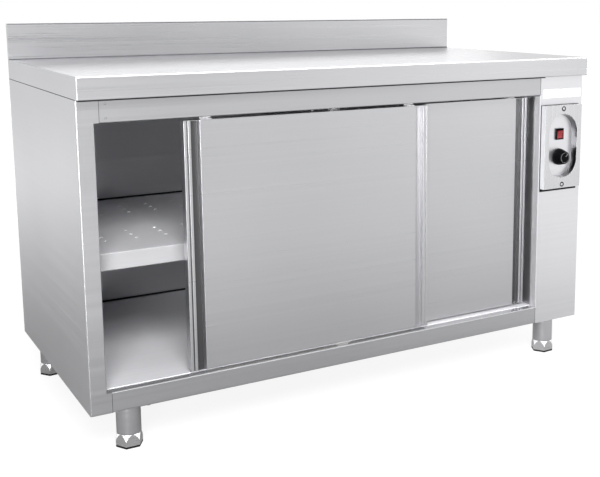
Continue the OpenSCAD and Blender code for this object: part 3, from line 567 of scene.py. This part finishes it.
@dataclass
class Pattern:
    """One small shape set at many places by a node tree, and kept as one plain mesh."""

    workshop: Workshop
    shape: Shape
    radius: float
    height: float
    facing: Triple
    ring_steps: int = 20
    wire_steps: int = 6
    rivet_steps: tuple[int, int] = (16, 8)

    def tree(self, material: bpy.types.Material) -> bpy.types.NodeTree:
        """Builds the node tree.

        Args:
            material: Material of every copy.

        Returns:
            The tree, with inputs Radius and Height.
        """
        tree = bpy.data.node_groups.new(f"{self.shape.value}_pattern", "GeometryNodeTree")
        for name, direction, kind in (("Geometry", "INPUT", "NodeSocketGeometry"),
                                      ("Radius", "INPUT", "NodeSocketFloat"),
                                      ("Height", "INPUT", "NodeSocketFloat"),
                                      ("Geometry", "OUTPUT", "NodeSocketGeometry")):
            tree.interface.new_socket(name, in_out=direction, socket_type=kind)
        start = tree.nodes.new("NodeGroupInput")
        end = tree.nodes.new("NodeGroupOutput")
        copies = tree.nodes.new("GeometryNodeInstanceOnPoints")
        turn = Vector((0.0, 0.0, 1.0)).rotation_difference(Vector(self.facing)).to_euler()
        copies.inputs["Rotation"].default_value = turn
        real = tree.nodes.new("GeometryNodeRealizeInstances")
        smooth = tree.nodes.new("GeometryNodeSetShadeSmooth")
        paint = tree.nodes.new("GeometryNodeSetMaterial")
        paint.inputs["Material"].default_value = material
        smooth.inputs["Shade Smooth"].default_value = self.shape is not Shape.HEX_BOLT
        tree.links.new(start.outputs["Geometry"], copies.inputs["Points"])
        tree.links.new(self.small_shape(tree, start), copies.inputs["Instance"])
        tree.links.new(copies.outputs["Instances"], real.inputs["Geometry"])
        tree.links.new(real.outputs["Geometry"], smooth.inputs["Geometry"])
        tree.links.new(smooth.outputs["Geometry"], paint.inputs["Geometry"])
        tree.links.new(paint.outputs["Geometry"], end.inputs["Geometry"])
        return tree

    def small_shape(self, tree: bpy.types.NodeTree,
                    start: bpy.types.Node) -> bpy.types.NodeSocket:
        """Adds the nodes of the small shape, which stands on z = 0.

        Args:
            tree: The tree to add them to.
            start: Its input node.

        Returns:
            The shape's geometry.
        """
        make = {Shape.RING: self.ring, Shape.HEX_BOLT: self.bolt_head,
                Shape.RIVET: self.rivet_head}[self.shape]
        return make(tree, start.outputs["Radius"], start.outputs["Height"])

    def ring(self, tree: bpy.types.NodeTree, radius: bpy.types.NodeSocket,
             height: bpy.types.NodeSocket) -> bpy.types.NodeSocket:
        """Adds a ring of round wire, whose own radius is the height."""
        path = tree.nodes.new("GeometryNodeCurvePrimitiveCircle")
        path.inputs["Resolution"].default_value = self.ring_steps
        wire = tree.nodes.new("GeometryNodeCurvePrimitiveCircle")
        wire.inputs["Resolution"].default_value = self.wire_steps
        sweep = tree.nodes.new("GeometryNodeCurveToMesh")
        tree.links.new(radius, path.inputs["Radius"])
        tree.links.new(height, wire.inputs["Radius"])
        tree.links.new(path.outputs["Curve"], sweep.inputs["Curve"])
        tree.links.new(wire.outputs["Curve"], sweep.inputs["Profile Curve"])
        return sweep.outputs["Mesh"]

    @staticmethod
    def bolt_head(tree: bpy.types.NodeTree, radius: bpy.types.NodeSocket,
                  height: bpy.types.NodeSocket) -> bpy.types.NodeSocket:
        """Adds a six-sided head."""
        head = tree.nodes.new("GeometryNodeMeshCylinder")
        head.inputs["Vertices"].default_value = 6
        lift = tree.nodes.new("GeometryNodeTransform")
        offset = tree.nodes.new("ShaderNodeCombineXYZ")
        half = tree.nodes.new("ShaderNodeMath")
        half.operation = "MULTIPLY"
        half.inputs[1].default_value = 0.5
        tree.links.new(radius, head.inputs["Radius"])
        tree.links.new(height, head.inputs["Depth"])
        tree.links.new(height, half.inputs[0])
        tree.links.new(half.outputs[0], offset.inputs["Z"])
        tree.links.new(head.outputs["Mesh"], lift.inputs["Geometry"])
        tree.links.new(offset.outputs["Vector"], lift.inputs["Translation"])
        return lift.outputs["Geometry"]

    def rivet_head(self, tree: bpy.types.NodeTree, radius: bpy.types.NodeSocket,
                   height: bpy.types.NodeSocket) -> bpy.types.NodeSocket:
        """Adds a ball that is flattened to the height."""
        ball = tree.nodes.new("GeometryNodeMeshUVSphere")
        ball.inputs["Segments"].default_value, ball.inputs["Rings"].default_value = self.rivet_steps
        flatten = tree.nodes.new("GeometryNodeTransform")
        scale = tree.nodes.new("ShaderNodeCombineXYZ")
        scale.inputs["X"].default_value = 1.0
        scale.inputs["Y"].default_value = 1.0
        ratio = tree.nodes.new("ShaderNodeMath")
        ratio.operation = "DIVIDE"
        tree.links.new(radius, ball.inputs["Radius"])
        tree.links.new(height, ratio.inputs[0])
        tree.links.new(radius, ratio.inputs[1])
        tree.links.new(ratio.outputs[0], scale.inputs["Z"])
        tree.links.new(ball.outputs["Mesh"], flatten.inputs["Geometry"])
        tree.links.new(scale.outputs["Vector"], flatten.inputs["Scale"])
        return flatten.outputs["Geometry"]

    def set_at(self, name: str, places: list[Triple], finish: Finish, body: str) -> bpy.types.Object:
        """Makes one mesh of all the copies.

        Args:
            name: Name of the piece.
            places: Where the copies stand.
            finish: Their finish.
            body: The body that they ride on.

        Returns:
            The piece.
        """
        points = bpy.data.meshes.new(name)
        points.from_pydata(places, [], [])
        piece = bpy.data.objects.new(name, points)
        bpy.context.scene.collection.objects.link(piece)
        tree = self.tree(self.workshop.material(finish))
        modifier = piece.modifiers.new("pattern", "NODES")
        modifier.node_group = tree
        sizes = {"Radius": self.radius, "Height": self.height}
        for socket in tree.interface.items_tree:
            if socket.in_out == "INPUT" and socket.name in sizes:
                modifier[socket.identifier] = sizes[socket.name]
        graph = bpy.context.evaluated_depsgraph_get()
        result = bpy.data.meshes.new_from_object(piece.evaluated_get(graph))
        piece.modifiers.remove(modifier)
        piece.data = result
        bpy.data.meshes.remove(points)
        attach(piece, body)
        LOG.info("%s: %d copies, %d faces", name, len(places), len(result.polygons))
        return piece


@dataclass
class Body:
    """The folded casing: worktop, side and rear panels, rails, column and interior."""

    metal: SheetMetal
    fold_edge: float = 0.9 * MM
    thin_edge: float = 0.35 * MM
    weld_radius: float = 2.2 * MM
    weld_height: float = 0.25 * MM
    weld_inset: float = 14.0 * MM
    weld_spread: float = 31.0 * MM
    hole_radius: float = 4.0 * MM
    burr: float = 0.45 * MM
    hole_pitch: tuple[float, float] = (72.6 * MM, 42.0 * MM)
    hole_row: float = 148.0 * MM
    hole_margin: float = 62.0 * MM
    strip: float = 2.2 * MM
    seam: float = 1.1 * MM
    side_strip: float = 0.77 * MM
    proud: float = 0.12 * MM

    def build(self) -> None:
        """Dresses the casing."""
        self.dress_panels()
        self.spot_welds()
        self.hole_rims()
        self.shadow_strips()
        self.seams()
        self.corner_weld_highlights()
        self.ledge_ends()

    def corner_weld_highlights(self) -> None:
        """Sets near-white bars at the worktop's front corners: welds, with a painted highlight line
        along each corner.
        """
        low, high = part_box("worktop")
        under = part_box("top_rail")[1].z
        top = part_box("worktop_board")[1].z
        boxes = [((x - self.proud if side < 0 else x - self.seam, low.y - self.proud,
                   under + self.strip),
                  (x + self.seam if side < 0 else x + self.proud, low.y + self.seam,
                   top - self.seam))
                 for x, side in ((low.x, -1), (high.x, 1))]
        # Painted highlight: the corner bars are near-white.
        self.metal.fit(bars("corner_weld_highlights", boxes), PAINTED_HIGHLIGHT, "root", "brushed_steel")

    def ledge_ends(self) -> None:
        """Closes the bottom rail's ledge between its ends and the posts, in the ledge's painted-light
        copy of the steel.
        """
        low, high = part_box("bottom_rail")
        floor_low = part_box("floor_panel")[0]
        boxes = [((floor_low.x, low.y + self.seam, high.z - self.seam),
                  (low.x, floor_low.y, high.z))]
        self.metal.fit(bars("ledge_end", boxes), LEDGE_PAINTED_LIGHT, "root", "brushed_steel")

    def shadow_strips(self) -> None:
        """Sets black strips of painted shadow under the worktop and along the rear of floor and
        shelf.
        """
        top_low, top_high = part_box("worktop")
        rail_low, rail_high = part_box("top_rail")
        under = rail_high.z
        boxes = [((top_low.x + self.strip, top_low.y + self.strip / 2, under - self.strip),
                  (rail_high.x, rail_low.y - self.proud, under - self.proud))]
        for x, side in ((top_low.x, -1), (top_high.x, 1)):
            edges = sorted((x + side * self.proud, x - side * self.seam))
            boxes.append(((edges[0], rail_low.y, under - self.side_strip),
                          (edges[1], top_high.y - self.strip, under + self.side_strip)))
        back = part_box("rear_panel")[0].y
        left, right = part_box("left_inner_wall")[1].x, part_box("column_partition")[0].x
        for level in (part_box("floor_panel")[1].z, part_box("shelf")[1].z):
            boxes.append(((left, back - 2 * self.strip, level),
                          (right, back, level + 2 * self.strip)))
        # Painted shadow: black strips where only shade falls.
        self.metal.fit(bars("shadow_strips", boxes), BLACK_RUBBER, "root", "black_rubber")

    def seams(self) -> None:
        """Sets the dark joint lines between the rails and what they are welded to."""
        boxes = []
        for rail in ("top_rail", "bottom_rail"):
            low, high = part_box(rail)
            for x in (low.x, high.x):
                boxes.append(((x - self.seam / 2, low.y - self.proud, low.z),
                              (x + self.seam / 2, low.y + self.seam, high.z - self.strip)))
        self.metal.fit(bars("joint_lines", boxes), BURNISHED_AND_SHADE, "root", "brushed_steel")

    def spot_welds(self) -> None:
        """Sets the two weld dimples at the left end of the top rail."""
        low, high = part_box("top_rail")
        middle = (low.z + high.z) / 2
        places = [(low.x + self.weld_inset, low.y, middle + side * self.weld_spread / 2)
                  for side in (-1, 1)]
        pattern = Pattern(self.metal.workshop, Shape.RING, self.weld_radius,
                          self.weld_height, FORWARD)
        pattern.set_at("spot_welds", places, BURNISHED_AND_SHADE, "root")

    def hole_rims(self) -> None:
        """Sets the punched rim round each air hole of the shelf, in near-white as a painted
        highlight.
        """
        low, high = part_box("shelf")
        across, along = self.hole_pitch
        count = int((high.x - low.x - 2 * self.hole_margin) / across)
        first = (low.x + high.x - count * across) / 2
        middle = (low.y + high.y) / 2
        places = [(first + i * across, middle + row * self.hole_row + k * along, high.z)
                  for i in range(count + 1) for row in (-1, 1) for k in (-1, 0, 1)]
        pattern = Pattern(self.metal.workshop, Shape.RING, self.hole_radius + self.burr / 2,
                          self.burr, UPWARD)
        # Painted highlight: the rims are near-white.
        pattern.set_at("shelf_hole_rims", places, PAINTED_HIGHLIGHT, "root")

    def dress_panels(self) -> None:
        """Gives each panel its finish, and paints highlights, light and shade on some of its faces.
        """
        outer = {"worktop": TOP_STEEL, "left_side_panel": SIDE_STEEL,
                 "right_side_panel": SIDE_STEEL, "rear_panel": SIDE_STEEL,
                 "top_rail": OUTER_STEEL, "bottom_rail": OUTER_STEEL,
                 "column_front": COLUMN_STEEL}
        inner = {"floor_panel": FLOOR_STEEL, "shelf": INNER_STEEL,
                 "left_inner_wall": INNER_WALL_STEEL, "ceiling_panel": INNER_WALL_STEEL,
                 # Painted shade: the column partition takes the paler channel shade.
                 "column_partition": PALE_CHANNEL_PAINTED_SHADE}
        plain = {"worktop_board": CHIPBOARD, "worktop_bearers": GALVANISED,
                 "left_insulation": WOOL, "floor_bearers": GALVANISED,
                 "column_base": GALVANISED, "shelf_brackets": INNER_STEEL,
                 "shelf_stiffener": INNER_STEEL}
        pieces = {node: self.metal.refine(node, finish, self.fold_edge)
                  for node, finish in outer.items()}
        pieces |= {node: self.metal.refine(node, finish, self.thin_edge)
                   for node, finish in inner.items()}
        paint = self.metal.paint
        # Painted light: the bottom rail's upward faces take the paler ledge copy of the steel.
        paint(pieces["bottom_rail"], LEDGE_PAINTED_LIGHT, lambda middle, normal: normal.z > FACING)
        # Painted shade: the column's left-facing return and the shelf's front lip take a darker copy
        # of the steel.
        paint(pieces["column_front"], LIP_PAINTED_SHADE, lambda middle, normal: normal.x < -FACING)
        paint(pieces["shelf"], LIP_PAINTED_SHADE, lambda middle, normal: normal.y < -FACING)
        # Painted shade: the side panel's forward faces take the darker rail steel.
        paint(pieces["left_side_panel"], OUTER_STEEL, lambda middle, normal: normal.y < -FACING)
        # Painted light: the worktop's end faces take the paler side-panel steel.
        paint(pieces["worktop"], SIDE_STEEL, lambda middle, normal: abs(normal.x) > FACING)
        # Painted highlight: the front fold of the worktop is near-white.
        paint(pieces["worktop"], PAINTED_HIGHLIGHT, lambda middle, normal:
              middle.y < 0.0 and normal.z > LEANING and normal.y < -LEANING)
        # Painted shade: the fold at the foot of the upstand is dark.
        paint(pieces["worktop"], BURNISHED_AND_SHADE, lambda middle, normal:
              middle.y > 0.0 and LEANING < normal.z < SLOPING and normal.y < -LEANING)
        for node, finish in plain.items():
            self.metal.dress(node, finish)


@dataclass
class Doors:
    """The two sliding doors with their hangers, rollers and track."""

    metal: SheetMetal
    edge: float = 0.5 * MM
    hanger_middle: float = 55.0 * MM
    rivet_spread: float = 8.0 * MM
    rivet_size: tuple[float, float] = (3.2 * MM, 1.1 * MM)
    hanger_foot: float = 2.0 * MM
    rivet_depth: float = 7.0 * MM
    face_depth: float = 1.0 * MM
    channel_depth: float = 20.0 * MM

    def rivets(self, door: str) -> None:
        """Sets the rivets that hold the hangers to a door's top.

        Args:
            door: Which door, front or rear.
        """
        low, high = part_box(f"{door}_door_skin")
        radius, height = self.rivet_size
        places = [(x + side * self.rivet_spread, low.y + self.rivet_depth,
                   high.z + self.hanger_foot)
                  for x in (low.x + self.hanger_middle, high.x - self.hanger_middle)
                  for side in (-1, 1)]
        pattern = Pattern(self.metal.workshop, Shape.RIVET, radius, height, UPWARD)
        pattern.set_at(f"{door}_hanger_rivets", places, TURNED, f"{door}_door")

    def darken_channels(self, skin: bpy.types.Object, pale_from: float) -> None:
        """Paints shade on the floors of a door's grooves and finger channels, as dark copies of the
        steel.

        Args:
            skin: The door's outer skin.
            pale_from: Where on x the paler painted shade starts.
        """
        face = min(vertex.co.y for vertex in skin.data.vertices)

        def recessed(middle: Vector, normal: Vector) -> bool:
            return normal.y < -FACING and self.face_depth < middle.y - face < self.channel_depth

        # Painted shade: recessed channel floors take a near-black copy of the steel, and a paler one
        # from pale_from on.
        self.metal.paint(skin, CHANNEL_PAINTED_SHADE, recessed)
        self.metal.paint(skin, PALE_CHANNEL_PAINTED_SHADE, lambda middle, normal:
                         recessed(middle, normal) and middle.x > pale_from)

    def build(self) -> None:
        """Dresses the doors and what carries them."""
        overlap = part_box("rear_door_skin")[0].x
        for door, pale_from in (("front", overlap), ("rear", math.inf)):
            skin = self.metal.refine(f"{door}_door_skin", DOOR_STEEL, self.edge)
            self.darken_channels(skin, pale_from)
            self.metal.refine(f"{door}_door_liner", INNER_STEEL, self.edge)
            self.metal.refine(f"{door}_door_hangers", FLOOR_STEEL, self.edge / 2)
            self.metal.dress(f"{door}_door_core", WOOL)
            for side in ("left", "right"):
                self.metal.dress(f"{door}_roller_{side}", NYLON)
            self.rivets(door)
        self.metal.dress("door_track", TRACK_ALLOY)
        self.metal.dress("track_stops", BLACK_RUBBER)
        self.metal.dress("door_guide", NYLON)


@dataclass
class Controls:
    """The raised cover with its recess, the switch, the knob and the blank name plate."""

    metal: SheetMetal
    plate_size: tuple[float, float] = (135 * MM, 24 * MM)
    plate_thick: float = 0.6 * MM
    plate_above_cover: float = 19.5 * MM
    plate_corner: float = 1.5 * MM
    plate_right_of_cover: float = 7.5 * MM
    corner_steps: int = 4
    cover_edge: float = 1.2 * MM
    side_facing: float = 0.9
    wall_lean: float = 0.2
    gasket: tuple[float, float] = (0.9 * MM, 1.5 * MM)
    # Height of the band of painted shadow under the cover.
    shadow_below_cover: float = 9.0 * MM
    # Radius and wire of the dark ring of painted shade round each screw head.
    shade_ring: tuple[float, float] = (5.4 * MM, 1.6 * MM)
    ring: tuple[float, float] = (14.0 * MM, 0.35 * MM)
    pointer: tuple[float, float, float] = (1.6 * MM, 4.0 * MM, 13.5 * MM)
    pointer_depth: tuple[float, float] = (0.1 * MM, 0.7 * MM)
    pointer_turn: float = math.radians(45.0)

    def build(self) -> None:
        """Dresses the controls and adds the plate, the gasket with its painted shadow, the painted
        shade rings round the screws and the marks.
        """
        low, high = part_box("control_cover")
        centre = (low.x + high.x) / 2
        # Painted highlight: the cover's rounded edges take the near-white finish.
        cover = self.metal.refine("control_cover", COVER_STEEL, self.cover_edge, PAINTED_HIGHLIGHT)
        # Painted light: the cover's side walls take the paler interior steel.
        self.metal.paint(cover, INNER_STEEL, lambda middle, normal:
                         abs(normal.x) > self.side_facing)
        # Painted shade: the right-hand wall of the recess takes a dark finish.
        self.metal.paint(cover, RECESS_PAINTED_SHADE, lambda middle, normal:
                         normal.y > -FACING and normal.x < -self.wall_lean and middle.x > centre)
        for node, finish, edge in (("cover_screws", GALVANISED, 0.2 * MM),
                                   ("switch_body", BLACK_PLASTIC, 0.6 * MM),
                                   ("switch_rocker", RED_LENS, 0.5 * MM),
                                   ("thermostat_knob", BLACK_PLASTIC, 0.4 * MM)):
            self.metal.refine(node, finish, edge)
        self.metal.dress("thermostat_spindle", TURNED)
        self.metal.dress("thermostat_body", GALVANISED)
        self.name_plate()
        self.cover_gasket_and_shadow()
        self.screw_shade_rings()
        self.knob_marks()

    def cover_gasket_and_shadow(self) -> None:
        """Sets the dark gasket that shows as a line round the cover, and a band of painted shadow
        below its foot.
        """
        low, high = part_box("control_cover")
        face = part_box("column_front")[0].y
        proud, thick = self.gasket
        sides = [((low.x - proud, low.z - proud), (low.x, high.z + proud)),
                 ((high.x, low.z - proud), (high.x + proud, high.z + proud)),
                 # Painted shadow: a black band under the cover's foot.
                 ((low.x, low.z - self.shadow_below_cover), (high.x, low.z)),
                 ((low.x, high.z), (high.x, high.z + proud))]
        boxes = [((a[0], face - thick, a[1]), (b[0], face, b[1])) for a, b in sides]
        self.metal.fit(bars("cover_gasket_and_shadow", boxes), BLACK_RUBBER, "root", "black_rubber")

    def screw_shade_rings(self) -> None:
        """Sets a dark ring of painted shade round the head of each cover screw."""
        low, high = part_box("cover_screws")
        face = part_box("control_cover")[0].y
        half = (high.x - low.x) / 2
        places = [((low.x + high.x) / 2, face, z) for z in (low.z + half, high.z - half)]
        pattern = Pattern(self.metal.workshop, Shape.RING, *self.shade_ring, FORWARD)
        pattern.set_at("screw_shade_rings", places, BLACK_RUBBER, "root")

    def knob_marks(self) -> None:
        """Paints the ring and the pointer on the knob's face."""
        low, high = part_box("thermostat_knob")
        x, z = (low.x + high.x) / 2, (low.z + high.z) / 2
        ring = Pattern(self.metal.workshop, Shape.RING, *self.ring, FORWARD)
        ring.set_at("knob_ring", [(x, low.y, z)], PAINT_LINE, "knob")
        width, start, end = self.pointer
        proud, sunk = self.pointer_depth
        line = bars("knob_pointer", [((-width / 2, -proud, start), (width / 2, sunk, end))])
        turn = Matrix.Translation((x, low.y, z)) @ Matrix.Rotation(self.pointer_turn, 4, "Y")
        line.data.transform(turn)
        self.metal.fit(line, PAINT_LINE, "knob", "ceramic")

    def name_plate(self) -> None:
        """Makes the blank plate above the cover."""
        low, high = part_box("control_cover")
        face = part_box("column_front")[0].y
        width, height = self.plate_size
        centre_x = (low.x + high.x) / 2 + self.plate_right_of_cover
        centre_z = high.z + self.plate_above_cover + height / 2
        mesh = bmesh.new()
        bmesh.ops.create_cube(mesh, size=1.0)
        for vertex in mesh.verts:
            vertex.co = (centre_x + vertex.co.x * width,
                         face + (vertex.co.y - 0.5) * self.plate_thick,
                         centre_z + vertex.co.z * height)
        upright = [edge for edge in mesh.edges
                   if abs(edge.verts[0].co.y - edge.verts[1].co.y) > self.plate_thick / 2]
        bmesh.ops.bevel(mesh, geom=upright, offset=self.plate_corner,
                        segments=self.corner_steps, affect="EDGES", profile=0.5)
        self.metal.fit(to_object("name_plate", mesh), ENAMEL, "root", "ceramic")


@dataclass
class Heater:
    """What the column and the fan opening hide: element, fan, motor and terminals."""

    metal: SheetMetal

    def build(self) -> None:
        """Dresses the heater."""
        finishes = {"fan_shroud": GALVANISED, "heating_element": HEATER_SHEATH,
                    "fan_motor": MOTOR_PAINT, "fan_shaft": TURNED, "fan_wheel": GALVANISED,
                    "thermal_cutout": CERAMIC, "terminal_block": CERAMIC,
                    "cable_gland": BLACK_PLASTIC}
        for node, finish in finishes.items():
            self.metal.dress(node, finish)


@dataclass
class Legs:
    """The four legs with their levelling feet and rubber pads."""

    metal: SheetMetal
    corners: tuple[str, ...] = ("front_left", "front_right", "rear_left", "rear_right")
    bolt_size: tuple[float, float] = (5.8 * MM, 4.0 * MM)
    bolt_spread: float = 36.0 * MM
    plate_thick: float = 3.0 * MM
    plate_edge: float = 0.3 * MM
    foot_edge: float = 0.4 * MM
    tube_edge: float = 0.5 * MM

    def bolts(self) -> None:
        """Sets the bolts that hold the leg plates to the bearers."""
        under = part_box("leg_plates")[1].z - self.plate_thick
        places = []
        for corner in self.corners:
            low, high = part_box(f"pad_{corner}")
            x, y = (low.x + high.x) / 2, (low.y + high.y) / 2
            places += [(x + a * self.bolt_spread, y + b * self.bolt_spread, under)
                       for a in (-1, 1) for b in (-1, 1)]
        pattern = Pattern(self.metal.workshop, Shape.HEX_BOLT, *self.bolt_size, DOWNWARD)
        pattern.set_at("leg_bolts", places, TURNED, "root")

    def build(self) -> None:
        """Dresses the legs."""
        self.bolts()
        self.metal.refine("leg_plates", GALVANISED, self.plate_edge)
        self.metal.refine("leg_tubes", TUBE_STEEL, self.tube_edge)
        for corner in self.corners:
            foot = self.metal.refine(f"foot_{corner}", FOOT_STEEL, self.foot_edge)
            # Painted highlight: the foot's sloping faces take the near-white finish.
            self.metal.paint(foot, PAINTED_HIGHLIGHT, lambda middle, normal:
                             LEANING < normal.z < SLOPING)
            self.metal.refine(f"pad_{corner}", BLACK_RUBBER, self.tube_edge)


# --- Studio -----------------------------------------------------------------------------------


WHITE = (1.0, 1.0, 1.0, 1.0)


@dataclass(frozen=True)
class Softbox:
    """A rectangular lamp: its place, what it is aimed at, its size and its power in watts."""

    name: str
    place: Triple
    aim: Triple
    size: tuple[float, float]
    power: float


@dataclass
class Studio:
    """Camera, lamps, floor and white surroundings."""

    camera_place: Triple = (-1.2196, -2.4317, 1.0058)
    camera_yaw: float = 0.5453
    camera_pitch: float = -0.1652
    lens: float = 59.87
    shift: tuple[float, float] = (-0.1433, -0.12)
    floor_size: float = 60.0
    floor_albedo: float = 0.15
    # The floor's glow is dimmer round this middle, over an ellipse of this shape: a painted shadow of
    # the cabinet, seen above all in the metal's reflections; further out far_glow dims the reflected
    # glow again.
    shadow_middle: Triple = (-0.3, 0.4, 0.0)
    shadow_shape: Triple = (0.42, 0.33, 1.0)
    glow_reach: tuple[float, float] = (0.2, 1.0)
    far_reach: tuple[float, float] = (1.2, 2.6)
    seen_glow: tuple[float, float] = (0.88, 0.97)
    mirrored_glow: tuple[float, float] = (0.18, 1.0)
    far_glow: float = 0.78
    ambient: float = 0.5
    camera_side: Triple = (-0.45, -0.89, 0.0)
    camera_side_reach: tuple[float, float] = (0.55, 0.95)
    camera_side_glow: float = 0.12
    lamps: tuple[Softbox, ...] = (
        Softbox("key", (-1.4, -3.4, 3.0), (0.0, 0.0, 0.4), (2.0, 1.4), 170.0),
        Softbox("low", (-2.4, -3.6, 0.6), (-0.3, 0.0, 0.4), (1.4, 1.0), 130.0),
        Softbox("fill", (2.6, -3.6, 0.7), (0.2, 0.0, 0.4), (2.0, 1.4), 4.0),
        Softbox("overhead_strip", (0.1, -0.3, 2.8), (0.1, -0.2, 0.8), (2.6, 0.25), 14.0),
        Softbox("right_strip", (2.2, -2.4, 0.5), (0.2, -0.3, 0.2), (0.3, 0.9), 0.5),
        Softbox("rear_glow", (1.5, 3.8, 2.0), (0.1, 0.0, 0.85), (3.4, 0.8), 10.5),
        Softbox("side_strip", (-3.6, -1.9, 0.8), (-0.7, -0.3, 0.5), (0.35, 1.6), 10.0),
    )

    def build(self) -> None:
        """Sets the whole studio up."""
        scene = bpy.context.scene
        scene.view_settings.view_transform = "Standard"
        self.camera()
        for softbox in self.lamps:
            self.lamp(softbox)
        self.floor()
        self.surroundings()

    def camera(self) -> None:
        """Makes the camera."""
        data = bpy.data.cameras.new("camera")
        data.lens = self.lens
        data.sensor_width = 36.0
        data.shift_x, data.shift_y = self.shift
        data.clip_end = 200.0
        camera = bpy.data.objects.new("camera", data)
        camera.location = self.camera_place
        camera.rotation_euler = (math.pi / 2 + self.camera_pitch, 0.0, -self.camera_yaw)
        bpy.context.scene.collection.objects.link(camera)
        bpy.context.scene.camera = camera

    @staticmethod
    def lamp(softbox: Softbox) -> None:
        """Makes a lamp.

        Args:
            softbox: What the lamp is like.
        """
        data = bpy.data.lights.new(softbox.name, "AREA")
        data.shape = "RECTANGLE"
        data.size, data.size_y = softbox.size
        data.energy = softbox.power
        lamp = bpy.data.objects.new(softbox.name, data)
        lamp.location = softbox.place
        direction = Vector(softbox.aim) - Vector(softbox.place)
        lamp.rotation_euler = direction.to_track_quat("-Z", "Y").to_euler()
        bpy.context.scene.collection.objects.link(lamp)

    def floor(self) -> None:
        """Makes the pale floor, whose glow reaches only what looks at it, dimmer near the cabinet as
        a painted shadow.
        """
        mesh = bmesh.new()
        bmesh.ops.create_grid(mesh, x_segments=1, y_segments=1, size=self.floor_size / 2)
        floor = to_object("floor", mesh)
        tree = ShaderTree("floor")
        tree.set(Base_Color=(*[self.floor_albedo] * 3, 1.0), Roughness=0.9,
                 Specular_IOR_Level=0.0, Emission_Color=WHITE)
        squeezed = tree.add("ShaderNodeVectorMath", operation="MULTIPLY")
        squeezed.inputs[1].default_value = self.shadow_shape
        distance = tree.add("ShaderNodeVectorMath", operation="DISTANCE")
        distance.inputs[1].default_value = [
            a * b for a, b in zip(self.shadow_middle, self.shadow_shape)]
        tree.link(tree.coordinates, squeezed.inputs[0])
        tree.link(squeezed.outputs["Vector"], distance.inputs[0])
        paths = tree.add("ShaderNodeLightPath").outputs
        away = distance.outputs["Value"]
        seen = tree.combine("MULTIPLY", tree.spread(away, *self.seen_glow, *self.glow_reach),
                            paths["Is Camera Ray"])
        # Painted shadow: what the metal reflects of the floor is dimmest near the cabinet.
        mirrored = tree.combine(
            "MULTIPLY", tree.spread(away, *self.mirrored_glow, *self.glow_reach),
            tree.spread(away, 1.0, self.far_glow, *self.far_reach),
            tree.combine("MAXIMUM", paths["Is Glossy Ray"], paths["Is Transmission Ray"]))
        tree.link(tree.combine("ADD", seen, mirrored), tree.shader.inputs["Emission Strength"])
        floor.data.materials.append(tree.material)

    def surroundings(self) -> None:
        """Makes the white surroundings, dimmer in mirrors that face the camera's side."""
        world = bpy.data.worlds.new("surroundings")
        bpy.context.scene.world = world
        world.use_nodes = True
        nodes, links = world.node_tree.nodes, world.node_tree.links
        toward = nodes.new("ShaderNodeVectorMath")
        toward.operation = "DOT_PRODUCT"
        toward.inputs[1].default_value = self.camera_side
        links.new(nodes.new("ShaderNodeTexCoord").outputs["Generated"], toward.inputs[0])
        mirrored = nodes.new("ShaderNodeMapRange")
        start, end = self.camera_side_reach
        for name, value in (("From Min", start), ("From Max", end), ("To Min", 1.0),
                            ("To Max", self.camera_side_glow)):
            mirrored.inputs[name].default_value = value
        links.new(toward.outputs["Value"], mirrored.inputs["Value"])
        paths = nodes.new("ShaderNodeLightPath").outputs
        strength = None
        for ray, value in (("Is Glossy Ray", mirrored.outputs["Result"]),
                           ("Is Transmission Ray", 1.0), ("Is Camera Ray", 1.0)):
            choice = nodes.new("ShaderNodeMix")
            choice.inputs["A"].default_value = self.ambient
            if strength:
                links.new(strength, choice.inputs["A"])
            if isinstance(value, float):
                choice.inputs["B"].default_value = value
            else:
                links.new(value, choice.inputs["B"])
            links.new(paths[ray], choice.inputs["Factor"])
            strength = choice.outputs["Result"]
        background = nodes["Background"]
        background.inputs["Color"].default_value = WHITE
        links.new(strength, background.inputs["Strength"])


def main() -> None:
    """Builds the studio and dresses the cabinet."""
    logging.basicConfig(level=logging.INFO, format="%(name)s: %(message)s")
    Studio().build()
    metal = SheetMetal(Workshop())
    for group in (Body(metal), Doors(metal), Controls(metal), Heater(metal), Legs(metal)):
        group.build()
        LOG.info("%s dressed", type(group).__name__)


if __name__ == "__main__":
    main()
